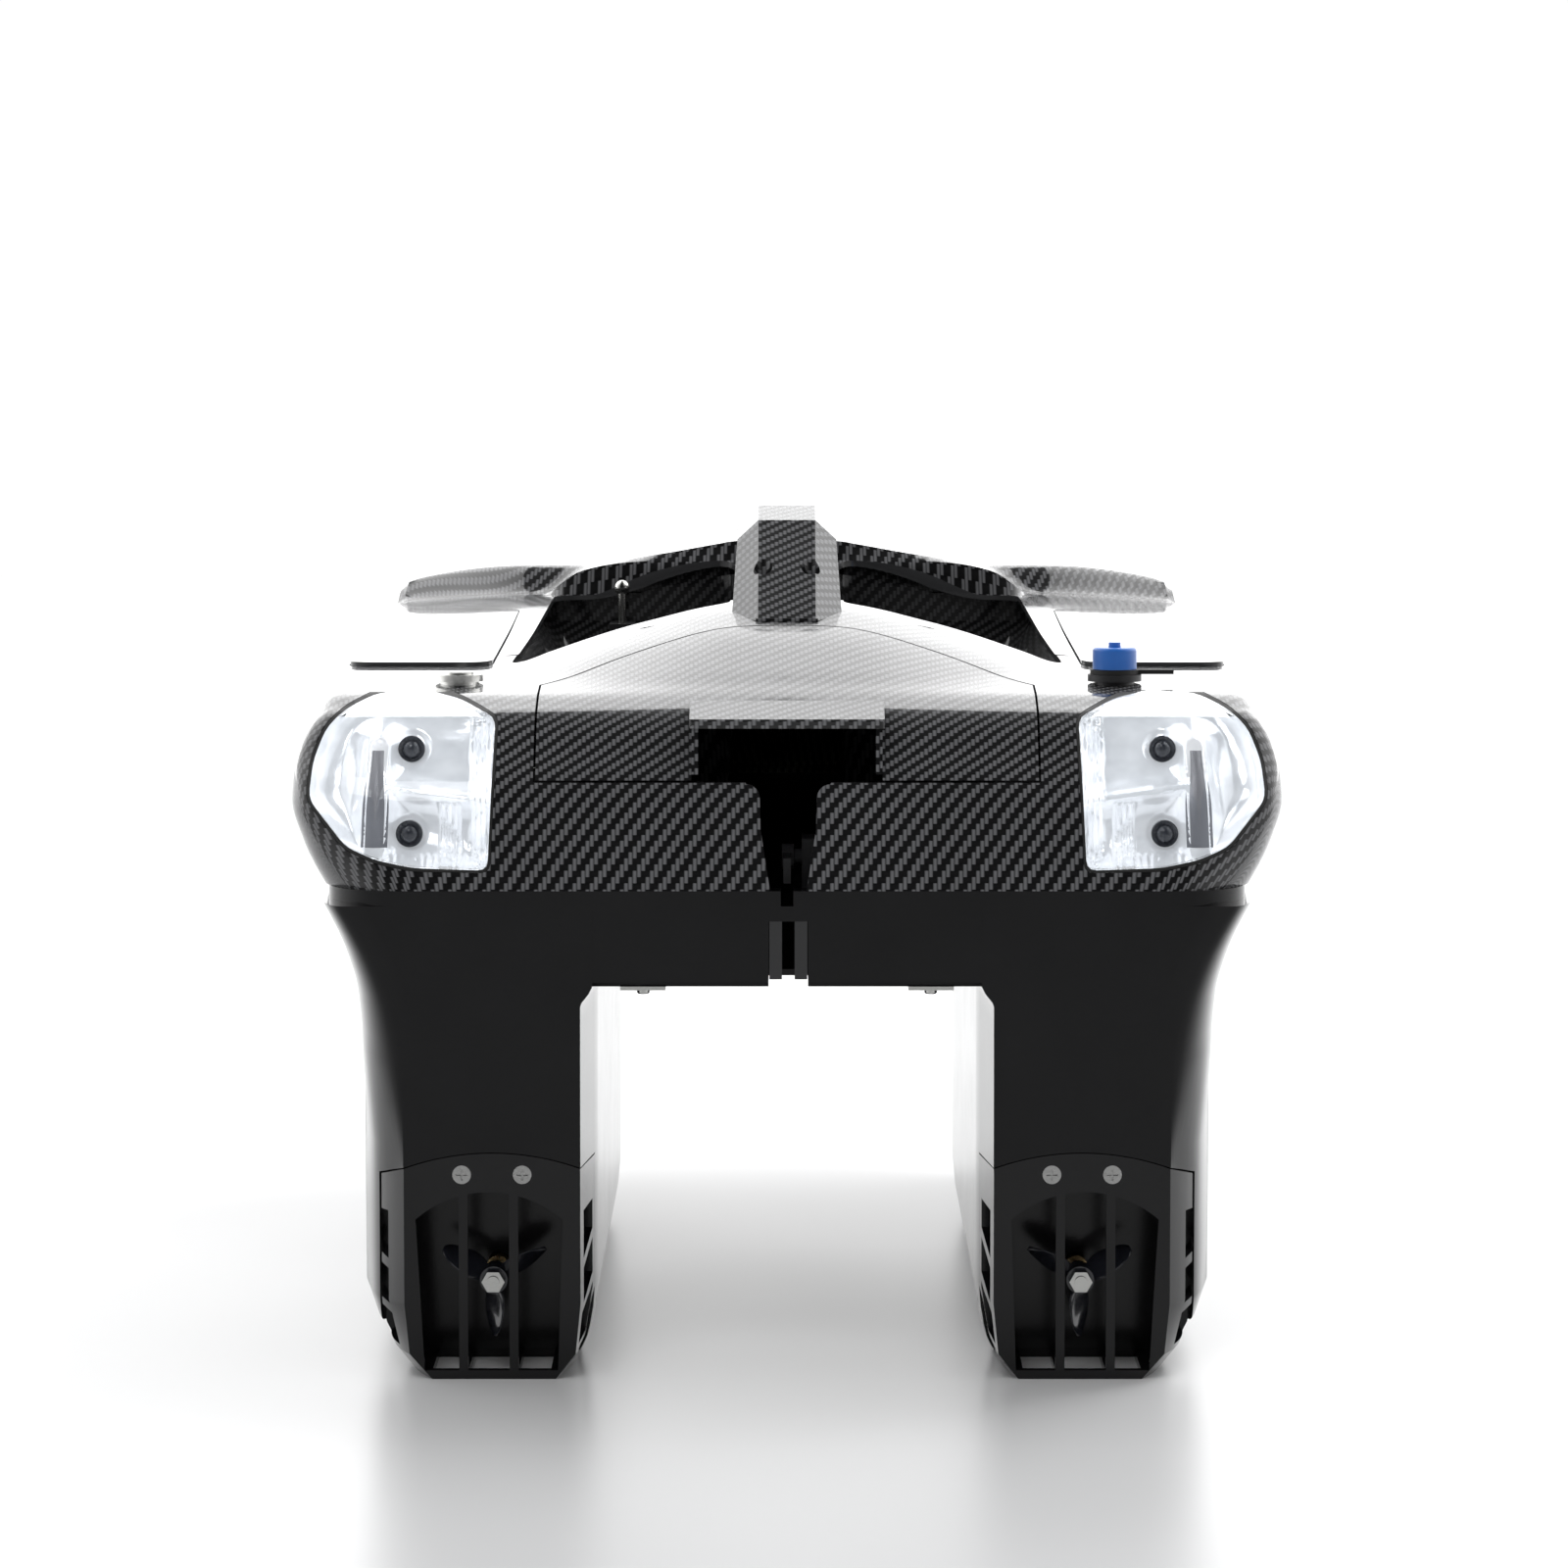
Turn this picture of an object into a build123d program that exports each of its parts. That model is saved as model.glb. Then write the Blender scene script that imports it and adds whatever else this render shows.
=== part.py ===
from build123d import *
import os
from collections import namedtuple

os.makedirs("parts", exist_ok=True)

# Twin-hull bait boat. Millimetres, +Z up, stern towards -Y, starboard towards +X,
# origin on the floor below the middle of the boat.

# Overall
STERN_Y = -300.0
BOW_Y = 300.0
SKIN = 2.5  # moulded wall thickness
FIT = 0.4  # gap round loose panels
RIM_Z = 195.0  # joint between lower hull and deck moulding
BAND_Z = 189.0  # underside of the rim band

# Pontoons
HULL_X = 117.0  # pontoon centreline, also the propeller shaft
HULL_IN = 77.0
TUNNEL_Z = 157.0  # roof of the tunnel between the pontoons
GUARD_Y = -250.0  # forward end of the propeller guard
GUARD_SIDE_Z = 80.0
GUARD_TOP_Z = 90.5

# Drive
SHAFT_Z = 38.0
SHAFT_R = 2.5
PROP_Y = -283.0
PROP_R = 23.5

# Wells, hatch and lids
WELL_IN = 24.0
WELL_REAR_Y = -140.0
WELL_FRONT_Y = 176.0
HATCH_X = 100.0
HATCH_Z = 237.5
HATCH_SIDE_Y = -222.0
HATCH_TOP_Y = -172.0
HOOD_X = 38.8  # half width of the visor over the notch
SCREW_Y = -139.0  # screws at the foot of the carry handle
LID_IN = 124.0
LID_OUT = 184.0
LID_REAR_Y = -150.0
LID_HINGE_Y = 100.0

# One horizontal slice of the deck moulding's skin
DeckLevel = namedtuple("DeckLevel", "z corner_x side_x stern_y bow_y")
DECK_LEVELS = [
    DeckLevel(z=RIM_Z - 1.0, corner_x=177, side_x=190, stern_y=-300, bow_y=299.7),
    DeckLevel(z=212, corner_x=184, side_x=198, stern_y=-294, bow_y=299),
    DeckLevel(z=228, corner_x=188, side_x=203, stern_y=-288, bow_y=296),
    DeckLevel(z=248, corner_x=187, side_x=200, stern_y=-275, bow_y=284),
    DeckLevel(z=264, corner_x=181, side_x=192, stern_y=-256, bow_y=270),
    DeckLevel(z=312, corner_x=168, side_x=180, stern_y=-200, bow_y=225),
]

# One horizontal slice of a pontoon
HullLevel = namedtuple("HullLevel", "z in_stern in_mid out_stern out_mid bow_y")
HULL_LEVELS = [
    HullLevel(z=0, in_stern=92, in_mid=84, out_stern=141, out_mid=152, bow_y=170),
    HullLevel(z=10, in_stern=84, in_mid=81, out_stern=150, out_mid=159, bow_y=192),
    HullLevel(z=30, in_stern=82, in_mid=77, out_stern=152, out_mid=172, bow_y=222),
    HullLevel(z=128, in_stern=82, in_mid=77, out_stern=152, out_mid=172, bow_y=262),
    HullLevel(z=149, in_stern=82, in_mid=77, out_stern=157, out_mid=173, bow_y=268),
    HullLevel(z=TUNNEL_Z, in_stern=77, in_mid=77, out_stern=159, out_mid=175, bow_y=270),
    HullLevel(z=170, in_stern=77, in_mid=77, out_stern=163, out_mid=179, bow_y=273),
    HullLevel(z=BAND_Z, in_stern=77, in_mid=77, out_stern=176, out_mid=188, bow_y=278),
]


def block(x0, x1, y0, y1, z0, z1):
    """Solid box between two corners."""
    size = Box(x1 - x0, y1 - y0, z1 - z0)
    return Pos((x0 + x1) / 2, (y0 + y1) / 2, (z0 + z1) / 2) * size


def rod(start, end, radius):
    """Round bar between two points."""
    a = Vector(*start)
    b = Vector(*end)
    plane = Plane(origin=a, z_dir=b - a)
    return extrude(plane * Circle(radius), (b - a).length)


def mirrored(shape):
    """The same part on the other side of the boat."""
    return mirror(shape, about=Plane.YZ)


def group(*shapes):
    """Separate solids kept together as one part."""
    solids = []
    for shape in shapes:
        solids.extend(shape.solids())
    return Compound(children=solids)


def side_profile(points, half_width):
    """Solid with the given outline in the Y-Z plane, centred on the centreline."""
    outline = Polyline(*[(0, y, z) for y, z in points], close=True)
    return extrude(make_face(outline), half_width, dir=(1, 0, 0), both=True)


def end_profile(points, y0, y1):
    """Solid with the given outline in the X-Z plane, from y0 to y1."""
    outline = Polyline(*[(x, y0, z) for x, z in points], close=True)
    return extrude(make_face(outline), y1 - y0, dir=(0, 1, 0))


def plan_profile(points, z0, z1):
    """Solid with the given outline in plan, from z0 to z1."""
    outline = Polyline(*[(x, y, z0) for x, y in points], close=True)
    return extrude(make_face(outline), z1 - z0, dir=(0, 0, 1))


# ---------------------------------------------------------------- deck volume


def deck_slice(level, inset):
    """Closed outline of the deck moulding at one height."""
    corner = level.corner_x - inset
    side = level.side_x - inset
    stern = level.stern_y + inset
    bow = level.bow_y - inset
    right = [
        (corner - 22, stern),
        (corner - 10, stern + 3),
        (corner, stern + 12),
        (corner + 7, stern + 50),
        (side, stern + 130),
        (side, 0),
        (side - 2, 100),
        (side - 16, bow - 85),
        (side - 62, bow - 22),
        (side - 120, bow - 3),
        (0, bow),
    ]
    left = [(-x, y) for x, y in reversed(right)]
    aft = Line(left[-1], right[0])
    starboard = Spline(*right)
    port = Spline(*left)
    return Pos(0, 0, level.z) * make_face([aft, starboard, port])


def flank_volume(inset):
    """Rounded block with the deck's fascia, flanks and bow."""
    return loft([deck_slice(level, inset) for level in DECK_LEVELS], ruled=True)


def side_deck_volume(flanks, inset):
    """Everything below the two side decks."""
    deck_line = [
        (-310, 180),
        (-310, 240 - inset),
        (-262, 262 - inset),
        (-240, 269 - inset),
        (-150, 274 - inset),
        (100, 284 - inset),
        (172, 288 - inset),
        (200, 299 - inset),
        (225, 297 - inset),
        (275, 262 - inset),
        (310, 200 - inset),
        (310, 180),
    ]
    return flanks & side_profile(deck_line, 250)


def crown_volume(inset):
    """Raised middle of the deck, between the hatch and the wells."""
    spine_line = [
        (-300 + inset, 190),
        (-300 + inset, 195),
        (-285 + inset, 235 - inset),
        (-256 + inset, 262 - inset),
        (-220 + inset, 279 - inset),
        (-172, 293 - inset),
        (-130, 300 - inset),
        (190, 302 - inset),
        (190, 190),
    ]
    arch = [
        (-118 + inset, 190),
        (-118 + inset, 274 - inset),
        (-100, 281 - inset),
        (-60, 293 - inset),
        (-20, 300 - inset),
        (20, 300 - inset),
        (60, 293 - inset),
        (100, 281 - inset),
        (118 - inset, 274 - inset),
        (118 - inset, 190),
    ]
    return side_profile(spine_line, 130) & end_profile(arch, -305, 195)


def bow_arch_volume(flanks, inset):
    """Hump across the bow that closes the forward end of the wells."""
    hump_line = [
        (WELL_FRONT_Y + inset, 190),
        (WELL_FRONT_Y + inset, 311 - inset),
        (206, 311 - inset),
        (248, 292 - inset),
        (272 - inset, 262 - inset),
        (296 - inset, 205),
        (296 - inset, 190),
    ]
    arch = [
        (-124 + inset, 190),
        (-124 + inset, 280 - inset),
        (-98, 297 - inset),
        (-27, 309 - inset),
        (-24, 311 - inset),
        (24, 311 - inset),
        (27, 309 - inset),
        (98, 297 - inset),
        (124 - inset, 280 - inset),
        (124 - inset, 190),
    ]
    return flanks & side_profile(hump_line, 130) & end_profile(arch, 170, 302)


def deck_volume(inset=0.0):
    """Solid bounded by the deck's outer surface, moved inwards by inset."""
    flanks = flank_volume(inset)
    body = side_deck_volume(flanks, inset) + crown_volume(inset) + bow_arch_volume(flanks, inset)
    finger_room = block(-WELL_IN - inset, WELL_IN + inset, -112 - inset, 142 + inset, 286 - inset, 330)
    return body - finger_room


def below_rim(shape):
    """Cut a deck part off at the rim joint."""
    return shape - block(-260, 260, -320, 320, 150, RIM_Z)


# ------------------------------------------------------------- panel outlines


def hatch_region(grow):
    """Upright prism over the stern hatch; grow widens it all round."""
    side = HATCH_X + grow
    right = (side, HATCH_SIDE_Y + grow)
    top = (0, HATCH_TOP_Y + grow)
    left = (-side, HATCH_SIDE_Y + grow)
    arc = ThreePointArc(left, top, right)
    rest = Polyline(right, (side, -320), (-side, -320), left)
    face = Pos(0, 0, HATCH_Z - grow) * make_face([arc, rest])
    return extrude(face, 90)


def notch_region(grow):
    """Mouth of the line bay in the lower edge of the hatch."""
    mouth = block(-38 - grow, 38 + grow, -320, -236 + grow, HATCH_Z - 10, 264 + grow)
    return fillet(mouth.edges().filter_by(Axis.Y).group_by(Axis.Z)[-1], 7)


def lamp_region(grow):
    """Prism along Y with the D-shaped outline of the starboard lamp."""
    outline = [
        (118, 260),
        (118, 203),
        (148, 204),
        (163, 207),
        (175, 212),
        (189, 229),
        (188, 245),
        (179, 263),
        (160, 276),
        (134, 276),
    ]
    face = make_face(Polyline(*[(x, -315, z) for x, z in outline], close=True))
    face = fillet(face.vertices(), 2)
    prism = extrude(face, 78, dir=(0, 1, 0))
    if grow == 0:
        return prism
    return offset(prism, grow)


def lid_region(grow):
    """Upright prism over the starboard side lid."""
    outline = [
        (LID_IN - grow, LID_REAR_Y - grow),
        (LID_OUT + grow, LID_REAR_Y - grow),
        (LID_OUT + grow, LID_HINGE_Y + grow),
        (LID_IN - grow, LID_HINGE_Y + grow),
    ]
    prism = plan_profile(outline, 255, 320)
    return fillet(prism.edges().filter_by(Axis.Z), 6)


def well_region(grow):
    """Upright prism over the starboard bait well."""
    outline = [
        (WELL_IN - grow, WELL_REAR_Y + 10 - grow),
        (116 + grow, WELL_REAR_Y - 10 - grow),
        (110 + grow, WELL_FRONT_Y - 6 + grow),
        (WELL_IN - grow, WELL_FRONT_Y + grow),
    ]
    return plan_profile(outline, 240, 330)


# -------------------------------------------------------------------- pontoon


def hull_slice(level, inset):
    """Closed outline of the starboard pontoon at one height."""
    stern = STERN_Y + inset
    bow = level.bow_y - inset
    tip = HULL_X
    outer = [
        (level.out_stern - inset, stern),
        ((level.out_stern + level.out_mid) / 2 + 3 - inset, stern + 25),
        (level.out_mid - inset, stern + 65),
        (level.out_mid - inset, 0),
        (level.out_mid - 2 - inset, 60),
        (level.out_mid - 14 - inset, bow - 62),
        (tip, bow),
    ]
    inner = level.in_mid + inset
    outer_edge = Spline(*outer)
    prow = Spline((tip, bow), (tip - 14, bow - 16), (inner + 7, bow - 70), (inner, 40))
    side = Line((inner, 40), (inner, stern + 60))
    taper = Line((inner, stern + 60), (level.in_stern + inset, stern))
    aft = Line((level.in_stern + inset, stern), outer[0])
    return Pos(0, 0, level.z) * make_face([aft, outer_edge, prow, side, taper])


def hull_volume(inset=0.0):
    """Starboard pontoon, moved inwards by inset; the floor rises with it."""
    levels = [hull_slice(level, inset) for level in HULL_LEVELS]
    body = loft(levels, ruled=True)
    if inset == 0:
        return body
    return body - block(60, 220, -320, 320, -5, inset)


def guard_region(grow):
    """Stern corner of the starboard pontoon taken up by the propeller guard."""
    edge = 45
    arc = ThreePointArc(
        (HULL_X - edge, -330, GUARD_SIDE_Z + grow),
        (HULL_X, -330, GUARD_TOP_Z + grow),
        (HULL_X + edge, -330, GUARD_SIDE_Z + grow),
    )
    rest = Polyline(
        (HULL_X + edge, -330, GUARD_SIDE_Z + grow),
        (HULL_X + edge, -330, -10),
        (HULL_X - edge, -330, -10),
        (HULL_X - edge, -330, GUARD_SIDE_Z + grow),
    )
    return extrude(make_face([arc, rest]), GUARD_Y + 330 + grow, dir=(0, 1, 0))


def hull_shell():
    """Open-topped starboard pontoon with the guard corner cut away."""
    core = hull_volume(SKIN) - guard_region(SKIN + FIT)
    shell = hull_volume() - core - guard_region(FIT)
    tube_hole = rod((HULL_X, -260, SHAFT_Z), (HULL_X, -230, SHAFT_Z), 4.5)
    return shell - tube_hole


def guard():
    """Cage round the starboard propeller."""
    outer = hull_volume() & guard_region(0)
    inside = hull_volume(3.2) & guard_region(-3.2)
    cage = outer - inside
    rear_arc = ThreePointArc((89, -310, 64), (HULL_X, -310, 75), (147.5, -310, 64))
    rear_rest = Polyline((147.5, -310, 64), (144, -310, 3.5), (91, -310, 3.5), (89, -310, 64))
    rear_opening = extrude(make_face([rear_arc, rear_rest]), 20, dir=(0, 1, 0))
    side_opening = end_profile([(60, 12), (180, 12), (180, 66), (60, 66)], -289, -259)
    floor_opening = block(94, 141, -294, -253.5, -5, 8)
    shaft_hole = rod((HULL_X, -262, SHAFT_Z), (HULL_X, -240, SHAFT_Z), 5.2)
    cage = cage - rear_opening - side_opening - floor_opening - shaft_hole
    walls = outer - inside
    rear_bars = block(106.7, 110.3, -301, -290, 2, 80) + block(126.7, 130.3, -301, -290, 2, 80)
    slats = slat(30) + slat(48)
    floor_bars = block(106.7, 110.3, -296, -252, -1, 8) + block(126.7, 130.3, -296, -252, -1, 8)
    cage = cage + (walls & (rear_bars + slats + floor_bars))
    for x in (HULL_X - 12, HULL_X + 12):
        cage = cage - guard_screw_hole(x)
    return cage


def slat(z):
    """Sloping bar across both side openings of the guard."""
    points = [(-292, z - 6), (-292, z - 2), (-256, z + 7), (-256, z + 3)]
    return side_profile(points, 180) & block(60, 180, -300, -250, 0, 90)


def guard_screw_hole(x):
    """Countersunk hole; the cone matches the screw's head."""
    sink = Pos(x, -299.2, 82) * Rot(90, 0, 0) * Cone(2.0, 3.7, 1.6)
    return sink + rod((x, -299, 82), (x, -288, 82), 2.0)


def guard_screw(x):
    """Countersunk screw with a cross recess."""
    head = Pos(x, -299.2, 82) * Rot(90, 0, 0) * Cone(2.0, 3.7, 1.6)
    shank = rod((x, -298.6, 82), (x, -292, 82), 2.0)
    cross = block(x - 2.2, x + 2.2, -302, -299.2, 81.6, 82.4)
    cross = cross + block(x - 0.4, x + 0.4, -302, -299.2, 79.8, 84.2)
    return head + shank - cross


# -------------------------------------------------------- lower body and rim


def rim_band():
    """Flat band between the hulls and the deck, closed to a plate at the bow."""
    level = DECK_LEVELS[0]
    outer = extrude(deck_slice(level, 0), RIM_Z - BAND_Z, dir=(0, 0, -1))
    inner = extrude(deck_slice(level, 14), RIM_Z - BAND_Z, dir=(0, 0, -1))
    inner = inner - block(-220, 220, 252, 320, 180, 200)
    band = Pos(0, 0, RIM_Z - level.z) * (outer - inner)
    line_gap = block(-2.5, 2.5, -310, -280, 185, 200)
    return band - line_gap


def bridge_pan():
    """Tray between the pontoons: tunnel roof, door openings and line slot."""
    tray = block(-HULL_IN + 0.3, HULL_IN - 0.3, STERN_Y, 268, TUNNEL_Z, BAND_Z)
    tray = tray - block(-74, 74, STERN_Y + SKIN, 265, TUNNEL_Z + SKIN, 200)
    tray = tray - block(-7.3, 8.3, -301, -262, 150, 183)
    lower_edges = tray.edges().filter_by(Axis.X).group_by(Axis.Z)[0].group_by(Axis.Y)[0]
    tray = chamfer(lower_edges, 2)
    doorway = block(26, 71, -108, 108, 150, 165)
    lugs = block(69.4, 74.6, -101, -95, 151.6, TUNNEL_Z) + block(69.4, 74.6, 95, 101, 151.6, TUNNEL_Z)
    lugs = lugs - hinge_rod(1.0, 105)
    tray = tray - doorway - mirrored(doorway)
    return tray + lugs + mirrored(lugs)


def hinge_rod(radius, reach):
    """Bar on the starboard hopper door's hinge line."""
    return rod((72, -reach, 154.2), (72, reach, 154.2), radius)


def hopper_door():
    """Starboard flap that closes the bottom of its hopper."""
    flap = block(26.5, 70.5, -107.5, 107.5, TUNNEL_Z + 0.1, TUNNEL_Z + 2.1)
    ribs = block(30, 66, -60, -57, TUNNEL_Z - 1.9, TUNNEL_Z + 0.1)
    ribs = ribs + block(30, 66, 57, 60, TUNNEL_Z - 1.9, TUNNEL_Z + 0.1)
    for y in (-80, 80):
        arm = block(62, 70.3, y - 10, y + 10, 152.4, TUNNEL_Z + 0.1)
        barrel = rod((72, y - 10, 154.2), (72, y + 10, 154.2), 2.4)
        flap = flap + arm + barrel
    for y in (-98, 98):
        flap = flap - block(66.3, 71, y - 4, y + 4, TUNNEL_Z, TUNNEL_Z + 3)
    return flap + ribs - hinge_rod(1.05, 105)


def cheek_plates():
    """Pair of plates that line the slot where the fishing line leaves."""
    port = block(-7, -2, STERN_Y, -264, 160, 183)
    starboard = block(3, 8, STERN_Y, -264, 160, 183)
    return group(port, starboard)


def latch_plate(side):
    return block(side * 57 - 9, side * 57 + 9, -299, -284, TUNNEL_Z - 1.5, TUNNEL_Z)


def latch_screw(side):
    head = Pos(side * 57, -291.5, TUNNEL_Z - 2.6) * Cylinder(2.5, 2.2)
    return fillet(head.edges().group_by(Axis.Z)[0], 0.8)


# ----------------------------------------------------------------- upper body


def line_mouth():
    """Slot up the middle of the stern fascia."""
    left = [(-7, 186), (-7, 196), (-12, 228), (-17, HATCH_Z)]
    right = [(18, HATCH_Z), (13, 228), (8, 196), (8, 186)]
    return end_profile(left + right, -320, -270)


def both_sides(shape):
    return [shape, mirrored(shape)]


def deck_shell(skin):
    """Deck moulding with all its openings."""
    shell = below_rim(skin) - hatch_region(FIT) - line_mouth()
    for opening in (lamp_region(1.4), lid_region(FIT), well_region(0)):
        for cutter in both_sides(opening):
            shell = shell - cutter
    fitting_hole = rod((134, -212, 250), (134, -212, 290), 8.2)
    switch_hole = rod((-134, -212, 250), (-134, -212, 290), 8.2)
    light_hole = rod((140, 185, 278), (140, 199, 310), 3.4)
    shell = shell - fitting_hole - switch_hole - light_hole - mirrored(light_hole)
    return largest(shell)


def largest(shape):
    """Main solid of a cut, without loose slivers."""
    return max(shape.solids(), key=lambda solid: solid.volume)


def hopper_tub(inner_volume):
    """Starboard bait well, straight-walled below and flared above."""
    outer = tub_solid(0)
    inner = tub_solid(-2)
    return largest((outer - inner) & inner_volume)


# One horizontal slice of a hopper tub's outside
TubLevel = namedtuple("TubLevel", "z inboard outboard rear front")
TUB_LEVELS = [
    TubLevel(z=TUNNEL_Z + SKIN + 0.3, inboard=26, outboard=73, rear=-112, front=112),
    TubLevel(z=196, inboard=26, outboard=73, rear=-114, front=116),
    TubLevel(z=274, inboard=22, outboard=118, rear=-152, front=179),
    TubLevel(z=320, inboard=22, outboard=118, rear=-152, front=179),
]


def tub_slice(level, grow):
    width = level.outboard - level.inboard + 2 * grow
    length = level.front - level.rear + 2 * grow
    centre = Pos((level.outboard + level.inboard) / 2, (level.front + level.rear) / 2, level.z)
    return centre * RectangleRounded(width, length, 8)


def tub_solid(grow):
    return loft([tub_slice(level, grow) for level in TUB_LEVELS], ruled=True)


def stern_hatch(skin):
    """Lift-up panel over the electronics bay, notched for the line bay."""
    panel = (skin & hatch_region(0)) - notch_region(0)
    return largest(panel)


def hatch_hood(outer):
    """Glossy visor standing out over the notch in the hatch, with a cheek at each side."""
    crown = [(-236, 263.8), (-262.5, 267.8), (-281, 261.6), (-282, 260.6), (-282, 258), (-236, 258)]
    visor = side_profile(crown, HOOD_X)
    visor = fillet(visor.edges().filter_by(Axis.Z).group_by(Axis.Y)[0], 1.5)
    cheek = [(-240, 263), (-280, 260), (-285, 240), (-240, 240)]
    cheeks = side_profile(cheek, HOOD_X) - side_profile(cheek, HOOD_X - 3.5)
    hood = visor + (cheeks & notch_region(-0.1))
    return largest(hood - (outer - notch_region(-0.1)))


def side_lid(skin):
    """Starboard deck lid with an oval finger recess at its rear edge."""
    lid = largest(skin & lid_region(0))
    recess = Pos(172, LID_REAR_Y, 275) * extrude(Ellipse(11, 5), 8, both=True)
    return lid - recess


def carry_handle(outer):
    """Bridge handle from the deck band to the bow arch, bevelled along both sides."""
    foot = [(-170, 280)]
    top = [(-166, 295), (-114, 334), (-92, 339.5), (95, 339.5), (150, 328), (196, 306)]
    underside = [(150, 290), (118, 313), (88, 325), (-78, 325), (-100, 318), (-118, 303), (-124, 280)]
    bar = side_profile(foot + top + underside, 23)
    wedge = [(23, 280), (23, 296), (20.5, 334), (20, 342), (30, 342), (30, 280)]
    flare = end_profile(wedge, -180, 200)
    bar = bar - flare - mirrored(flare)
    edge_cut = plan_profile([(13, -180), (26, -180), (26, -150), (23, -150), (13, -166)], 270, 345)
    bar = bar - edge_cut - mirrored(edge_cut)
    for start, end in zip(top, top[1:]):
        bevel = handle_bevel(*start, *end)
        bar = bar - bevel - mirrored(bevel)
    for x in (-10, 10):
        bar = bar - handle_screw_hole(x)
    return largest(bar - outer)


def handle_bevel(y0, z0, y1, z1):
    """Wedge taken off the handle's starboard shoulder between two stations."""
    faces = []
    for y, z in ((y0, z0), (y1, z1)):
        outline = Polyline((12, y, z + 0.01), (24, y, z - 11), (24, y, z + 9), (12, y, z + 9), close=True)
        faces.append(make_face(outline))
    return loft(faces, ruled=True)


def handle_screw_hole(x):
    return rod((x, SCREW_Y, 330), (x, SCREW_Y, 304), 4)


def handle_screw(x):
    head = rod((x, SCREW_Y, 307.5), (x, SCREW_Y, 304), 3.8)
    hexagon = Pos(x, SCREW_Y, 307.5) * extrude(RegularPolygon(2, 6), -2)
    return head - hexagon


# ---------------------------------------------------------------------- lamps


def lamp_lens(outer):
    """Clear cover that carries on the shape of the deck's corner."""
    return largest((outer - deck_volume(3.0)) & lamp_region(0))


def lamp_reflector():
    """Plated cup behind the starboard lens, with two bulb holes."""
    layer = deck_volume(9.0) - deck_volume(11.0)
    cup = layer & lamp_region(-3)
    for z, y in ((245, -262), (215, -280)):
        cup = cup - rod((152, y - 20, z), (152, y + 20, z), 4.8)
    return largest(cup)


def lamp_bulb(z, y):
    """Domed lamp bulb on the starboard side."""
    barrel = rod((152, y - 9, z), (152, y + 7, z), 4.5)
    tip = barrel.edges().group_by(Axis.Y)[0]
    return fillet(tip, 4)


def lamp_gasket(skin):
    """Thin seal between lamp and deck."""
    return largest(skin & (lamp_region(1.2) - lamp_region(0.1)))


# ---------------------------------------------------------------------- drive


def propeller(hand):
    """Three-bladed screw; hand is 1 or -1 for the direction of its pitch."""
    x = hand * HULL_X
    hub = rod((x, PROP_Y - 7, SHAFT_Z), (x, PROP_Y + 7, SHAFT_Z), 5.5)
    screw = hub
    for turn in (0, 120, 240):
        screw = screw + Pos(x, PROP_Y, SHAFT_Z) * Rot(0, turn, 0) * blade_solid(hand)
    return screw - rod((x, PROP_Y - 8, SHAFT_Z), (x, PROP_Y + 8, SHAFT_Z), SHAFT_R)


def blade_solid(hand):
    """One twisted blade pointing down from the hub centre."""
    sections = []
    stations = [(4.5, 9, 42), (13, 15, 32), (20, 12, 24), (PROP_R, 4, 20)]
    for radius, chord, pitch in stations:
        outline = Rot(0, 0, 90 - hand * pitch) * Ellipse(chord / 2, 0.9)
        sections.append(Pos(0, 0, -radius) * outline)
    return loft(sections)


def prop_shaft(x):
    return rod((x, PROP_Y - 13, SHAFT_Z), (x, -176, SHAFT_Z), SHAFT_R)


def prop_nut(x):
    nut = Pos(x, PROP_Y - 7, SHAFT_Z) * Rot(90, 0, 0) * extrude(RegularPolygon(4.6, 6), 5)
    return nut - rod((x, PROP_Y - 20, SHAFT_Z), (x, PROP_Y, SHAFT_Z), SHAFT_R)


def stern_tube(x):
    tube = rod((x, -258, SHAFT_Z), (x, -200, SHAFT_Z), 4.4)
    return tube - rod((x, -260, SHAFT_Z), (x, -198, SHAFT_Z), SHAFT_R + 0.06)


def coupling(x):
    sleeve = rod((x, -190, SHAFT_Z), (x, -160.5, SHAFT_Z), 8)
    return sleeve - rod((x, -191, SHAFT_Z), (x, -176, SHAFT_Z), SHAFT_R)


def motor(x):
    """Drive motor; its round body lies on the shaft line."""
    can = rod((x, -160, SHAFT_Z), (x, -104, SHAFT_Z), 18)
    can = fillet(can.edges(), 1.5)
    return can + rod((x, -104, SHAFT_Z), (x, -98, SHAFT_Z), 6)


def motor_mount(x):
    """Bracket that carries the motor on the hull floor."""
    plate = block(x - 22, x + 22, -150, -112, SKIN, 34)
    return plate - rod((x, -155, SHAFT_Z), (x, -105, SHAFT_Z), 18.0)


# ------------------------------------------------------------------- fittings


def connector_body():
    collar = rod((134, -212, 262), (134, -212, 277), 8)
    flange = rod((134, -212, 272.2), (134, -212, 275), 11)
    return collar + flange


def connector_cap():
    """Blue screw cap with a small button on top."""
    skirt = rod((134, -212, 277.1), (134, -212, 286), 9)
    skirt = fillet(skirt.edges().group_by(Axis.Z)[-1], 1.5)
    return skirt + rod((134, -212, 285), (134, -212, 288), 2.5)


def cap_tether():
    """Rubber ring and strap that keep the cap with the boat."""
    ring = rod((134, -212, 275.1), (134, -212, 276.9), 10) - rod((134, -212, 274), (134, -212, 278), 8.1)
    strap = block(142.5, 158, -215, -209, 275.1, 276.9)
    return ring + strap


def switch_bezel():
    bezel = rod((-134, -212, 272.2), (-134, -212, 275), 9.8)
    barrel = rod((-134, -212, 250), (-134, -212, 272.2), 8)
    return bezel + barrel - rod((-134, -212, 262), (-134, -212, 290), 6.1)


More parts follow.
